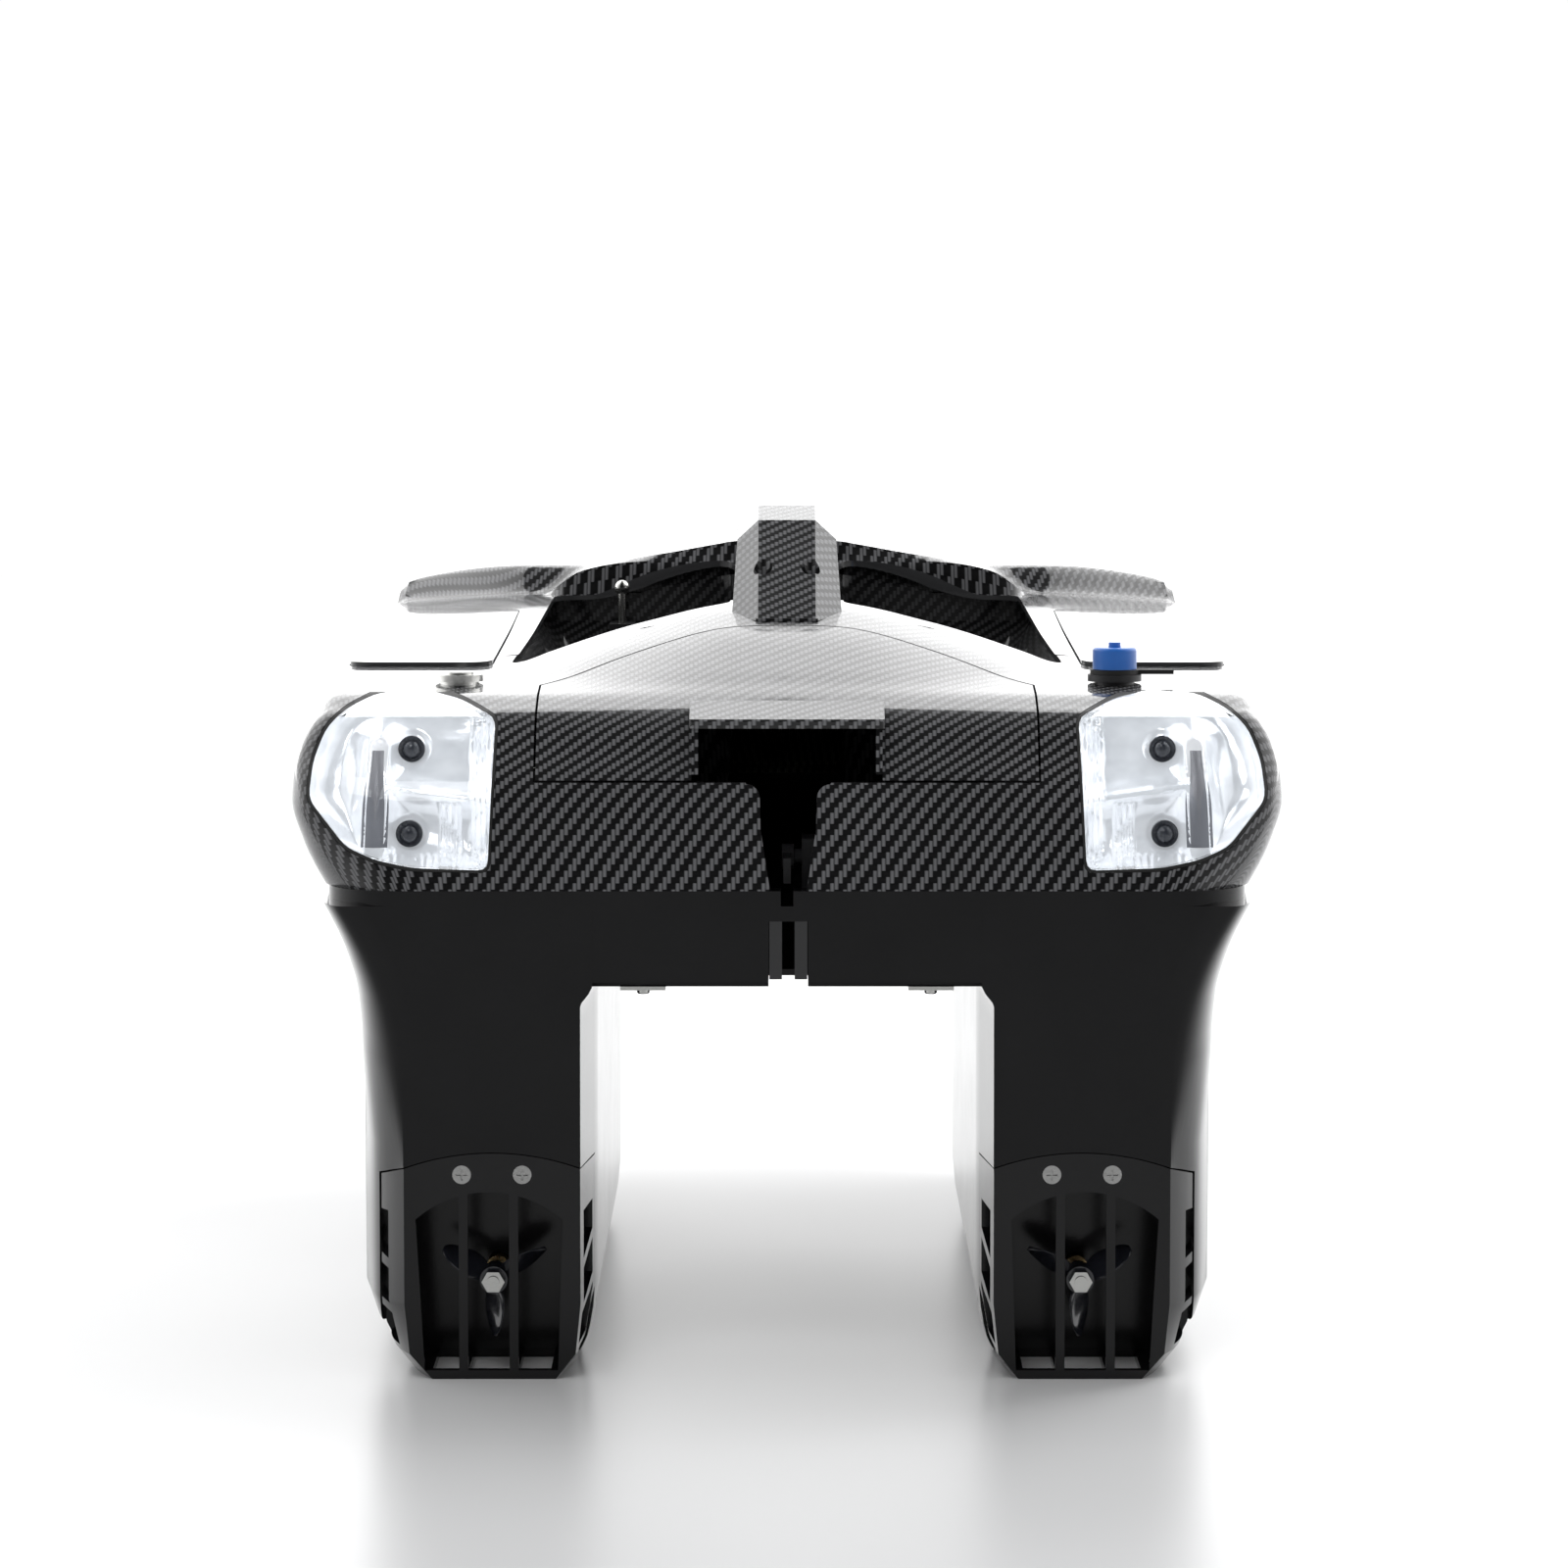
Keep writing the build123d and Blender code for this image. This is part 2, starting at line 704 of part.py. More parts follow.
def switch_button():
    return rod((-134, -212, 264.5), (-134, -212, 276), 6.0)


def bow_light():
    """Small domed light at the foot of the starboard bow crescent."""
    return rod((140, 187, 282), (140, 194, 299), 3.2)


# --------------------------------------------------------------------- inside


def battery():
    case = block(92, 157, -95, 56, 46, 140)
    case = fillet(case.edges().filter_by(Axis.Z), 3)
    terminals = block(100, 106, -85, -79, 140, 146) + block(143, 149, -85, -79, 140, 146)
    return case + terminals


def battery_tray():
    tray = block(90, 159, -97, 58, 40, 52)
    return tray - block(91.8, 157.2, -95.2, 56.2, 46, 60) + block(110, 139, -60, 20, SKIN, 40)


def control_box():
    case = block(-64, -16, -235, -165, TUNNEL_Z + SKIN, 186)
    return fillet(case.edges().filter_by(Axis.Z), 3)


def receiver():
    return block(30, 62, -235, -190, TUNNEL_Z + SKIN, 174)


def position_sensor():
    puck = Pos(46, -172, TUNNEL_Z + SKIN + 5) * Cylinder(13, 10)
    return fillet(puck.edges().group_by(Axis.Z)[-1], 2)


def servo(x, y, z):
    """Small servo with its mounting ears and output boss."""
    case = block(x, x + 22, y, y + 12, z, z + 22)
    ears = block(x - 4, x + 26, y, y + 12, z + 14, z + 16)
    return case + ears + rod((x + 6, y + 6, z + 22), (x + 6, y + 6, z + 26), 3)


def release_servo():
    case = block(6, 30, -262, -240, 186, 212)
    return case + rod((6, -251, 204), (3, -251, 204), 3)


def release_arm():
    """Lever that traps the fishing line in the slot."""
    boss = rod((2.8, -251, 204), (-2, -251, 204), 5)
    lever = block(-1.5, 1.5, -280, -251, 202, 206)
    hook = block(-1.5, 1.5, -280, -277, 196, 206)
    return boss + lever + hook


def pull_pin():
    """Steel pin with a ball head that stands at the bow end of the port well."""
    shank = rod((-78, 158, 262), (-78, 158, 290), 2)
    return shank + Pos(-78, 158, 291) * Sphere(3.6)


def pull_pin_socket():
    """Boss on the well's wall that guides the pull pin."""
    boss = block(-84, -72, 152, 185, 258, 274) & mirrored(tub_solid(-2))
    return boss - rod((-78, 158, 250), (-78, 158, 280), 2.06)


# ---------------------------------------------------------------------- build


def save(name, shape):
    export_step(shape, f"parts/{name}.step")


def build():
    outer = deck_volume()
    inner = deck_volume(SKIN)
    skin = outer - inner
    pairs = {
        "hull_shell": hull_shell(),
        "prop_guard": guard(),
        "hopper_tub": hopper_tub(inner),
        "hopper_door": hopper_door(),
        "side_lid": side_lid(skin),
        "lamp_lens": lamp_lens(outer),
        "lamp_reflector": lamp_reflector(),
        "lamp_bulbs": group(lamp_bulb(245, -262), lamp_bulb(215, -280)),
        "lamp_gasket": lamp_gasket(skin),
        "propeller": propeller(1),
        "prop_shaft": prop_shaft(HULL_X),
        "prop_nut": prop_nut(HULL_X),
        "shaft_coupling": coupling(HULL_X),
        "drive_motor": motor(HULL_X),
        "battery": battery(),
        "door_servo": servo(34, 200, TUNNEL_Z + SKIN),
    }
    for name, shape in pairs.items():
        save(f"{name}_starboard", shape)
        save(f"{name}_port", mirrored(shape))
    twins = {
        "door_hinge_pins": hinge_rod(1.0, 101),
        "stern_tubes": stern_tube(HULL_X),
        "motor_mounts": motor_mount(HULL_X),
        "battery_trays": battery_tray(),
        "bow_lights": bow_light(),
    }
    for name, shape in twins.items():
        save(name, group(shape, mirrored(shape)))
    save("rim_band", rim_band())
    save("bridge_pan", bridge_pan())
    save("slot_cheek_plates", cheek_plates())
    save("latch_plates", group(latch_plate(-1), latch_plate(1)))
    save("latch_screws", group(latch_screw(-1), latch_screw(1)))
    screw = guard_screw(HULL_X - 12)
    outer_screw = guard_screw(HULL_X + 12)
    save("guard_screws", group(screw, outer_screw, mirrored(screw), mirrored(outer_screw)))
    save("deck_shell", deck_shell(skin))
    save("stern_hatch", stern_hatch(skin))
    save("hatch_hood", hatch_hood(outer))
    save("carry_handle", carry_handle(outer))
    save("handle_screws", group(handle_screw(-10), handle_screw(10)))
    save("connector_body", connector_body())
    save("connector_cap", connector_cap())
    save("cap_tether", cap_tether())
    save("switch_bezel", switch_bezel())
    save("switch_button", switch_button())
    save("control_box", control_box())
    save("receiver", receiver())
    save("position_sensor", position_sensor())
    save("release_servo", release_servo())
    save("release_arm", release_arm())
    save("pull_pin", pull_pin())
    save("pull_pin_socket", pull_pin_socket())


build()
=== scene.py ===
import math

import bmesh
import bpy
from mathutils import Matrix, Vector


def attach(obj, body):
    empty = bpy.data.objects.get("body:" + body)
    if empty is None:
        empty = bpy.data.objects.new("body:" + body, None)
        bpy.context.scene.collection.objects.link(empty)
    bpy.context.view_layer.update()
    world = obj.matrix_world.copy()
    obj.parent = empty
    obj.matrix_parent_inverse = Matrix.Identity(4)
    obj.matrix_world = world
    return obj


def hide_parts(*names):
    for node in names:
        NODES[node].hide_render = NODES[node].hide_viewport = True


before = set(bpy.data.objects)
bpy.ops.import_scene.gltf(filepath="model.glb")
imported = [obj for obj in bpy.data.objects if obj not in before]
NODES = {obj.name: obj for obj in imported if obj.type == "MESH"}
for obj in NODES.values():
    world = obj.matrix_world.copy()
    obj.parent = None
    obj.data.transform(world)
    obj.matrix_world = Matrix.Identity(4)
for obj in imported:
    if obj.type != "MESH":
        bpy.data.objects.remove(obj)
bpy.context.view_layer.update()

MM = 0.001

# ------------------------------------------------------------------ helpers


def smoothstep(a, b, t):
    t = min(1.0, max(0.0, (t - a) / (b - a)))
    return t * t * (3 - 2 * t)


def line(points, t):
    """Smooth curve through (t, value) points, flat outside them."""
    if t <= points[0][0]:
        return points[0][1]
    if t >= points[-1][0]:
        return points[-1][1]
    for i in range(len(points) - 1):
        if t <= points[i + 1][0]:
            break
    slopes = []
    for k in (i, i + 1):
        if k == 0 or k == len(points) - 1:
            j = min(max(k, 1), len(points) - 1)
            run = (points[j][1] - points[j - 1][1]) / (points[j][0] - points[j - 1][0])
            slopes.append(run)
            continue
        a = (points[k][1] - points[k - 1][1]) / (points[k][0] - points[k - 1][0])
        b = (points[k + 1][1] - points[k][1]) / (points[k + 1][0] - points[k][0])
        slopes.append(0.0 if a * b <= 0 else 2 * a * b / (a + b))
    h = points[i + 1][0] - points[i][0]
    u = (t - points[i][0]) / h
    y0, y1 = points[i][1], points[i + 1][1]
    c0 = (1 + 2 * u) * (1 - u) ** 2
    c1 = u * (1 - u) ** 2
    c2 = u * u * (3 - 2 * u)
    c3 = u * u * (u - 1)
    return c0 * y0 + c1 * h * slopes[0] + c2 * y1 + c3 * h * slopes[1]


def smooth_max(a, b, k):
    h = max(k - abs(a - b), 0.0) / k
    return max(a, b) + h * h * k / 4


def smooth_min(a, b, k):
    return -smooth_max(-a, -b, k)


def new_object(name, verts, faces, material=None, smooth=True):
    """Mesh object from vertices in millimetres."""
    mesh = bpy.data.meshes.new(name)
    mesh.from_pydata([[c * MM for c in v] for v in verts], [], faces)
    mesh.update()
    obj = bpy.data.objects.new(name, mesh)
    bpy.context.scene.collection.objects.link(obj)
    if material:
        mesh.materials.append(material)
    for polygon in mesh.polygons:
        polygon.use_smooth = smooth
    return obj


def bake_modifiers(obj, sharp_angle=None):
    """Apply an object's modifiers, then mark its sharp edges."""
    bpy.context.view_layer.update()
    graph = bpy.context.evaluated_depsgraph_get()
    mesh = bpy.data.meshes.new_from_object(obj.evaluated_get(graph), depsgraph=graph)
    obj.modifiers.clear()
    old = obj.data
    obj.data = mesh
    bpy.data.meshes.remove(old)
    if sharp_angle is not None:
        mesh.shade_smooth()
        mesh.set_sharp_from_angle(angle=math.radians(sharp_angle))
    return obj


def clone(obj, name):
    copy = obj.copy()
    copy.data = obj.data.copy()
    copy.name = name
    bpy.context.scene.collection.objects.link(copy)
    return copy


def remove(*objs):
    for obj in objs:
        bpy.data.objects.remove(obj, do_unlink=True)


def cut(obj, operation, *cutters):
    """Boolean with each cutter in turn; the cutters are used up."""
    for cutter in cutters:
        mod = obj.modifiers.new("cut", "BOOLEAN")
        mod.operation = operation
        mod.solver = "EXACT"
        mod.object = cutter
        bake_modifiers(obj)
    remove(*cutters)


def thicken(obj, thickness, offset):
    mod = obj.modifiers.new("thickness", "SOLIDIFY")
    mod.thickness = thickness * MM
    mod.offset = offset


def flip_x(obj):
    """Mirror an object to the other side of the boat."""
    for vertex in obj.data.vertices:
        vertex.co.x = -vertex.co.x
    obj.data.flip_normals()
    return obj


def grid_faces(rows, columns):
    """Quads of a sheet with (rows + 1) x (columns + 1) vertices."""
    width = columns + 1
    starts = [j * width + i for j in range(rows) for i in range(columns)]
    return [[k, k + 1, k + 1 + width, k + width] for k in starts]


def ring_faces(rings, count):
    """Quads between closed rings of vertices."""
    faces = []
    for j in range(rings - 1):
        for i in range(count):
            k = (i + 1) % count
            faces.append([j * count + i, j * count + k, (j + 1) * count + k, (j + 1) * count + i])
    return faces


def extrude_outline(name, outline, low, high, axis):
    """Closed prism from a 2-D outline, along X, Y or Z (millimetres)."""
    verts = []
    for level in (low, high):
        for a, b in outline:
            point = {"X": (level, a, b), "Y": (a, level, b), "Z": (a, b, level)}[axis]
            verts.append(point)
    n = len(outline)
    faces = [list(range(n)), list(range(n, 2 * n))] + ring_faces(2, n)
    obj = new_object(name, verts, faces, smooth=False)
    fix_normals(obj)
    return obj


def merge_doubles(obj, distance):
    bm = bmesh.new()
    bm.from_mesh(obj.data)
    bmesh.ops.remove_doubles(bm, verts=bm.verts, dist=distance * MM)
    bmesh.ops.dissolve_degenerate(bm, edges=bm.edges, dist=0.001 * MM)
    bm.to_mesh(obj.data)
    bm.free()


def fix_normals(obj):
    bm = bmesh.new()
    bm.from_mesh(obj.data)
    bmesh.ops.recalc_face_normals(bm, faces=bm.faces)
    bm.to_mesh(obj.data)
    bm.free()


def rounded(outline, radius, steps=5):
    """Outline with each corner rounded by an arc."""
    result = []
    n = len(outline)
    for i in range(n):
        p = Vector(outline[i])
        a = Vector(outline[i - 1]) - p
        b = Vector(outline[(i + 1) % n]) - p
        cut = min(radius, a.length * 0.45, b.length * 0.45)
        start = p + a.normalized() * cut
        end = p + b.normalized() * cut
        for k in range(steps + 1):
            t = k / steps
            q = start * (1 - t) ** 2 + p * 2 * t * (1 - t) + end * t * t
            result.append((q.x, q.y))
    return result


def arc_points(x, y, radius, start, end, steps=8):
    """Points along an arc; angles in degrees."""
    points = []
    for k in range(steps + 1):
        angle = math.radians(start + (end - start) * k / steps)
        points.append((x + radius * math.cos(angle), y + radius * math.sin(angle)))
    return points


def set_material(obj, key):
    obj.data.materials.clear()
    obj.data.materials.append(MAT[key])


def finish_piece(obj, body, node):
    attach(obj, body)
    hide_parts(node)


def finish_pair(piece, port_name, node, bodies=("hull", "hull")):
    """Finish a starboard piece and its mirror image; node is the CAD name without its side."""
    twin = flip_x(clone(piece, port_name))
    finish_piece(piece, bodies[0], node + "_starboard")
    finish_piece(twin, bodies[1], node + "_port")


# ---------------------------------------------------------------- materials


class Graph:
    """Short way to build a node tree."""

    def __init__(self, tree):
        self.tree = tree

    def node(self, kind, inputs=None, **settings):
        node = self.tree.nodes.new(kind)
        for key, value in settings.items():
            setattr(node, key, value)
        for key, value in (inputs or {}).items():
            self.put(node.inputs[key], value)
        return node

    def put(self, socket, value):
        if isinstance(value, bpy.types.NodeSocket):
            self.tree.links.new(value, socket)
        elif isinstance(value, bpy.types.Node):
            self.tree.links.new(value.outputs[0], socket)
        else:
            socket.default_value = value

    def math(self, operation, a, b=0.0, clamp=False):
        node = self.node("ShaderNodeMath", {0: a, 1: b}, operation=operation, use_clamp=clamp)
        return node.outputs[0]

    def ramp(self, value, low, high, start=0.0, end=1.0, kind="LINEAR"):
        inputs = {0: value, 1: start, 2: end, 3: low, 4: high}
        return self.node("ShaderNodeMapRange", inputs, interpolation_type=kind).outputs[0]

    def blend(self, share, a, b):
        return self.node("ShaderNodeMix", {0: share, 2: a, 3: b}, data_type="FLOAT").outputs[0]

    def colour_ramp(self, value, dark, light):
        node = self.node("ShaderNodeValToRGB", {0: value})
        node.color_ramp.elements[0].color = (*dark, 1)
        node.color_ramp.elements[1].color = (*light, 1)
        return node.outputs[0]

    def noise(self, scale, detail=3.0, roughness=0.5, vector=None):
        node = self.node("ShaderNodeTexNoise", {"Scale": scale, "Detail": detail, "Roughness": roughness})
        if vector is None:
            vector = self.node("ShaderNodeTexCoord").outputs["Object"]
        self.put(node.inputs["Vector"], vector)
        return node.outputs["Fac"]

    def bump(self, height, strength, distance):
        node = self.node("ShaderNodeBump", {"Height": height, "Strength": strength, "Distance": distance})
        return node.outputs[0]


class Finish(Graph):
    """Node tree of a new material with a Principled shader."""

    def __init__(self, name):
        self.material = bpy.data.materials.new(name)
        self.material.use_nodes = True
        super().__init__(self.material.node_tree)
        self.bsdf = self.tree.nodes["Principled BSDF"]

    def set(self, **inputs):
        for key, value in inputs.items():
            self.put(self.bsdf.inputs[key.replace("_", " ")], value)


def plastic(name, colour, roughness, grain=0.02, coat=0.0, metallic=0.0, shine=0.5):
    """Moulded plastic or bare metal: fine grain, uneven gloss and a few soft marks."""
    g = Finish(name)
    fine = g.noise(900.0, 4.0)
    broad = g.noise(35.0, 3.0)
    lighter = tuple(min(1.0, c * 1.25 + 0.003) for c in colour)
    darker = tuple(c * 0.82 for c in colour)
    tint = g.colour_ramp(broad, darker, lighter)
    rough = g.math("ADD", g.ramp(broad, roughness * 0.75, roughness * 1.25), g.ramp(fine, 0.0, 0.05))
    g.set(Base_Color=tint, Roughness=rough, Metallic=metallic, Normal=g.bump(fine, grain, 0.0004))
    g.set(Coat_Weight=coat, Coat_Roughness=0.03, Specular_IOR_Level=shine)
    return g.material


def weave_coordinates(g, use_uv):
    """Two coordinates in metres that run along the two tow directions."""
    if use_uv:
        source = g.node("ShaderNodeUVMap", uv_map="film").outputs[0]
        parts = g.node("ShaderNodeSeparateXYZ", {0: source})
        return parts.outputs[0], parts.outputs[1]
    coords = g.node("ShaderNodeTexCoord").outputs["Object"]
    parts = g.node("ShaderNodeSeparateXYZ", {0: coords})
    return parts.outputs[0], g.math("ADD", parts.outputs[1], parts.outputs[2])


TOW_WIDTH = 1.75 * MM
FILAMENTS_ACROSS, FILAMENTS_ALONG = 9000.0, 300.0
DARK_TOW = 0.004
FILM_ROUGHNESS = 0.40


def carbon(name, use_uv=True, light=0.17):
    """Printed 2x2 twill weave under a clear gloss coat."""
    g = Finish(name)
    u, v = weave_coordinates(g, use_uv)
    cu = g.math("DIVIDE", u, TOW_WIDTH)
    cv = g.math("DIVIDE", v, TOW_WIDTH)
    iu = g.math("FLOOR", cu)
    iv = g.math("FLOOR", cv)
    # In a 2x2 twill the warp is on top where (column - row) modulo 4 is 0 or 1
    phase = g.math("FLOORED_MODULO", g.math("SUBTRACT", iu, iv), 4.0)
    warp_up = g.math("LESS_THAN", phase, 1.5)
    fu = g.math("FRACT", cu)
    fv = g.math("FRACT", cv)
    across = g.blend(warp_up, fv, fu)
    crown = g.math("SINE", g.math("MULTIPLY", across, math.pi))
    # Fine filaments along each tow
    hairs = []
    for per_u, per_v in ((FILAMENTS_ACROSS, FILAMENTS_ALONG), (FILAMENTS_ALONG, FILAMENTS_ACROSS)):
        run = {0: g.math("MULTIPLY", u, per_u), 1: g.math("MULTIPLY", v, per_v)}
        hairs.append(g.noise(1.0, 2.0, 0.5, g.node("ShaderNodeCombineXYZ", run).outputs[0]))
    hair = g.blend(warp_up, hairs[1], hairs[0])
    level = g.math("MULTIPLY", g.ramp(warp_up, 0.03, 1.0), g.ramp(crown, 0.25, 1.0))
    level = g.math("MULTIPLY", level, g.ramp(hair, 0.55, 1.25))
    broad = g.noise(18.0, 2.0)
    level = g.math("MULTIPLY", level, g.ramp(broad, 0.8, 1.15), clamp=True)
    dark = (DARK_TOW, DARK_TOW, DARK_TOW * 1.08)
    tint = g.colour_ramp(level, dark, (light, light * 1.01, light * 1.06))
    wear = g.ramp(g.noise(60.0, 4.0), FILM_ROUGHNESS * 0.85, FILM_ROUGHNESS * 1.2)
    g.set(Base_Color=tint, Roughness=wear, Specular_IOR_Level=0.12, Normal=g.bump(crown, 0.12, 0.0002))
    g.set(Coat_Weight=1.0, Coat_Roughness=0.035, Coat_IOR=1.5)
    return g.material


CLEAR_TINT = (0.96, 0.98, 1.0, 1)


def clear_plastic(name):
    """Clear moulding that lets light through to what lies behind it."""
    g = Finish(name)
    fine = g.noise(420.0, 2.0)
    g.set(Base_Color=CLEAR_TINT, Transmission_Weight=1.0, IOR=1.45)
    g.set(Roughness=g.ramp(fine, 0.02, 0.04), Normal=g.bump(fine, 0.02, 0.0003))
    path = g.node("ShaderNodeLightPath")
    shadow = g.math("MAXIMUM", path.outputs["Is Shadow Ray"], path.outputs["Is Diffuse Ray"])
    through = g.node("ShaderNodeBsdfTransparent", {"Color": CLEAR_TINT})
    mix = g.node("ShaderNodeMixShader", {0: shadow, 1: g.bsdf, 2: through})
    g.put(g.tree.nodes["Material Output"].inputs["Surface"], mix)
    return g.material


def plating_with_painted_glow(name):
    """Vacuum-plated reflector, a little uneven, with a painted glow: its emission stands in for light that
    its facets gather, though it is no lamp.
    """
    g = Finish(name)
    patches = g.noise(90.0, 2.0)
    ripple = g.noise(240.0, 2.0)
    g.set(Base_Color=g.colour_ramp(patches, (0.80, 0.82, 0.85), (0.98, 0.98, 1.0)), Metallic=0.45)
    g.set(Roughness=g.ramp(ripple, 0.10, 0.2), Normal=g.bump(ripple, 0.08, 0.0006))
    # Painted glow: the reflector emits light in patches, standing in for light its plated facets gather
    g.set(Emission_Color=(0.97, 0.985, 1.0, 1), Emission_Strength=g.ramp(patches, 0.16, 0.46))
    return g.material


MAT = {
    "carbon": carbon("carbon_film"),
    "carbon_plain": carbon("carbon_film_plain", use_uv=False),
    "carbon_tub": carbon("carbon_film_tub", use_uv=False, light=0.05),
    "hull": plastic("hull_gloss_black", (0.0035, 0.0035, 0.004), 0.09, grain=0.015, shine=0.25),
    "guard": plastic("guard_gloss_black", (0.004, 0.004, 0.0045), 0.14, grain=0.03, shine=0.35),
    "gloss": plastic("gloss_black", (0.005, 0.005, 0.006), 0.1, grain=0.02, coat=0.5),
    "satin": plastic("satin_black", (0.016, 0.016, 0.018), 0.42, grain=0.12),
    "rubber": plastic("black_rubber", (0.012, 0.012, 0.012), 0.6, grain=0.2),
    "steel": plastic("stainless_steel", (0.6, 0.6, 0.58), 0.22, grain=0.06, metallic=1.0),
    "alloy": plastic("machined_alloy", (0.7, 0.7, 0.72), 0.3, grain=0.08, metallic=1.0),
    "brass": plastic("turned_brass", (0.72, 0.52, 0.26), 0.25, grain=0.06, metallic=1.0),
    "blue": plastic("blue_cap_plastic", (0.012, 0.13, 0.5), 0.32, grain=0.1, coat=0.2),
    "battery": plastic("battery_shrink_film", (0.03, 0.09, 0.33), 0.25, grain=0.05),
    "prop": plastic("propeller_plastic", (0.012, 0.013, 0.018), 0.16, grain=0.05, coat=0.5),
    "screw": plastic("screw_head", (0.5, 0.5, 0.49), 0.34, grain=0.1, metallic=1.0),
    "black_metal": plastic("black_oxide", (0.02, 0.02, 0.02), 0.35, grain=0.08, metallic=0.7),
    "clear": clear_plastic("clear_lens"),
    "chrome": plating_with_painted_glow("plated_reflector"),
    "divider": plastic("lamp_divider", (0.30, 0.30, 0.32), 0.3, grain=0.05, metallic=0.3),
    "socket": plastic("lamp_socket", (0.035, 0.037, 0.045), 0.25, grain=0.05, coat=0.6),
}

CAD_FINISH = {
    "hull_shell": "hull", "bridge_pan": "hull", "rim_band": "hull", "slot_cheek_plates": "gloss",
    "prop_guard": "guard", "deck_shell": "carbon_plain", "stern_hatch": "carbon_plain",
    "side_lid": "carbon_plain", "carry_handle": "carbon_plain", "hatch_hood": "carbon_plain",
    "hopper_tub": "carbon_tub", "hopper_door": "satin", "pull_pin_socket": "satin",
    "lamp_lens": "clear", "lamp_reflector": "chrome", "lamp_bulbs": "socket", "bow_lights": "socket",
    "lamp_gasket": "rubber", "cap_tether": "rubber", "guard_screws": "screw",
    "latch_screws": "steel", "prop_nut": "steel", "prop_shaft": "steel",
    "door_hinge_pins": "steel", "pull_pin": "steel", "latch_plates": "steel",
    "handle_screws": "black_metal", "propeller": "prop", "stern_tubes": "brass",
    "drive_motor": "steel", "shaft_coupling": "alloy", "motor_mounts": "alloy",
    "connector_body": "satin", "connector_cap": "blue", "switch_bezel": "steel",
    "switch_button": "steel", "battery_trays": "satin", "control_box": "satin",
    "receiver": "satin", "position_sensor": "satin", "release_servo": "satin",
    "door_servo": "satin", "release_arm": "satin", "battery": "battery",
}


def base_name(node):
    for side in ("_port", "_starboard"):
        if node.endswith(side):
            return node[: -len(side)]
    return node


for node_name, node_object in NODES.items():
    finish = MAT[CAD_FINISH[base_name(node_name)]]
    if not node_object.material_slots:
        node_object.data.materials.append(finish)
    for material_slot in node_object.material_slots:
        material_slot.material = finish


# --------------------------------------------------------------- deck shape

WIDTH = [(-300, 184), (-250, 186), (-170, 190), (0, 190), (100, 188), (160, 183), (215, 171),
         (250, 154), (280, 128), (300, 104)]
BULGE = [(195, 0), (203, 4.5), (212, 8.5), (228, 13), (240, 12), (252, 8), (264, 2.5), (274, 0)]
SIDE_DECK = [(-262, 262), (-240, 269), (-150, 274), (0, 279), (100, 284), (160, 286.5), (205, 287),
             (240, 280)]
SPINE = [(-262, 262), (-220, 278), (-172, 292.5), (-130, 299.5), (-112, 300), (-92, 290), (-60, 287),
         (110, 287), (150, 296), (176, 302), (206, 302), (240, 290)]
ARCH = [(0, 300), (20, 300), (60, 293), (100, 281), (118, 274), (190, 262)]
HUMP = [(160, 250), (172, 285), (178, 312), (206, 315), (240, 296)]
BOW_ARCH = [(0, 315), (24, 315), (31, 312), (98, 298), (124, 280), (190, 262)]
FASCIA = [(0, 262), (7, 256), (14, 247), (23, 235), (32, 213), (38, 195)]
BOW_DROP = [(0, 292), (25, 277), (42, 255), (54, 225), (60, 195)]
RIM_Z, EDGE_Z, ARCH_TOP_Z, BOW_TOP_Z = 195.0, 262.0, 300.0, 292.0
FASCIA_Y, FASCIA_DEPTH = -262.0, 38.0
BOW_LINE_Y, BOW_DEPTH = 239.7, 60.0
CORNER_X = 152.0
DECK_EDGE = 190.0
EDGE_ROUND = 7.0
# Lengths along the film, from where the top ends to the rim
FLANK_RUN, FASCIA_RUN, BOW_RUN = 84.0, 78.0, 118.0


def fender(x, y):
    """Extra height of the bumper across each bow corner, with a steep crescent face."""
    foot = 186 - 52 * smoothstep(120, 196, x)
    rise = smoothstep(foot, foot + 17, y)
    shoulder = math.sqrt(max(0.0, 1 - (max(0.0, x - 128) / 66) ** 2))
    return 12.5 * rise * shoulder * (0.35 + 0.65 * (1 - smoothstep(222, 250, y)))


def deck_height(x, y):
    """Height of the deck's top surface."""
    side = line(SIDE_DECK, y) + fender(abs(x), y)
    crown = EDGE_Z + (line(SPINE, y) - EDGE_Z) * (line(ARCH, abs(x)) - EDGE_Z) / (ARCH_TOP_Z - EDGE_Z)
    hump = smooth_min(line(HUMP, y), line(BOW_ARCH, abs(x)), 4.0)
    height = smooth_max(side, crown, 4.0)
    return smooth_max(height, hump, 3.0)


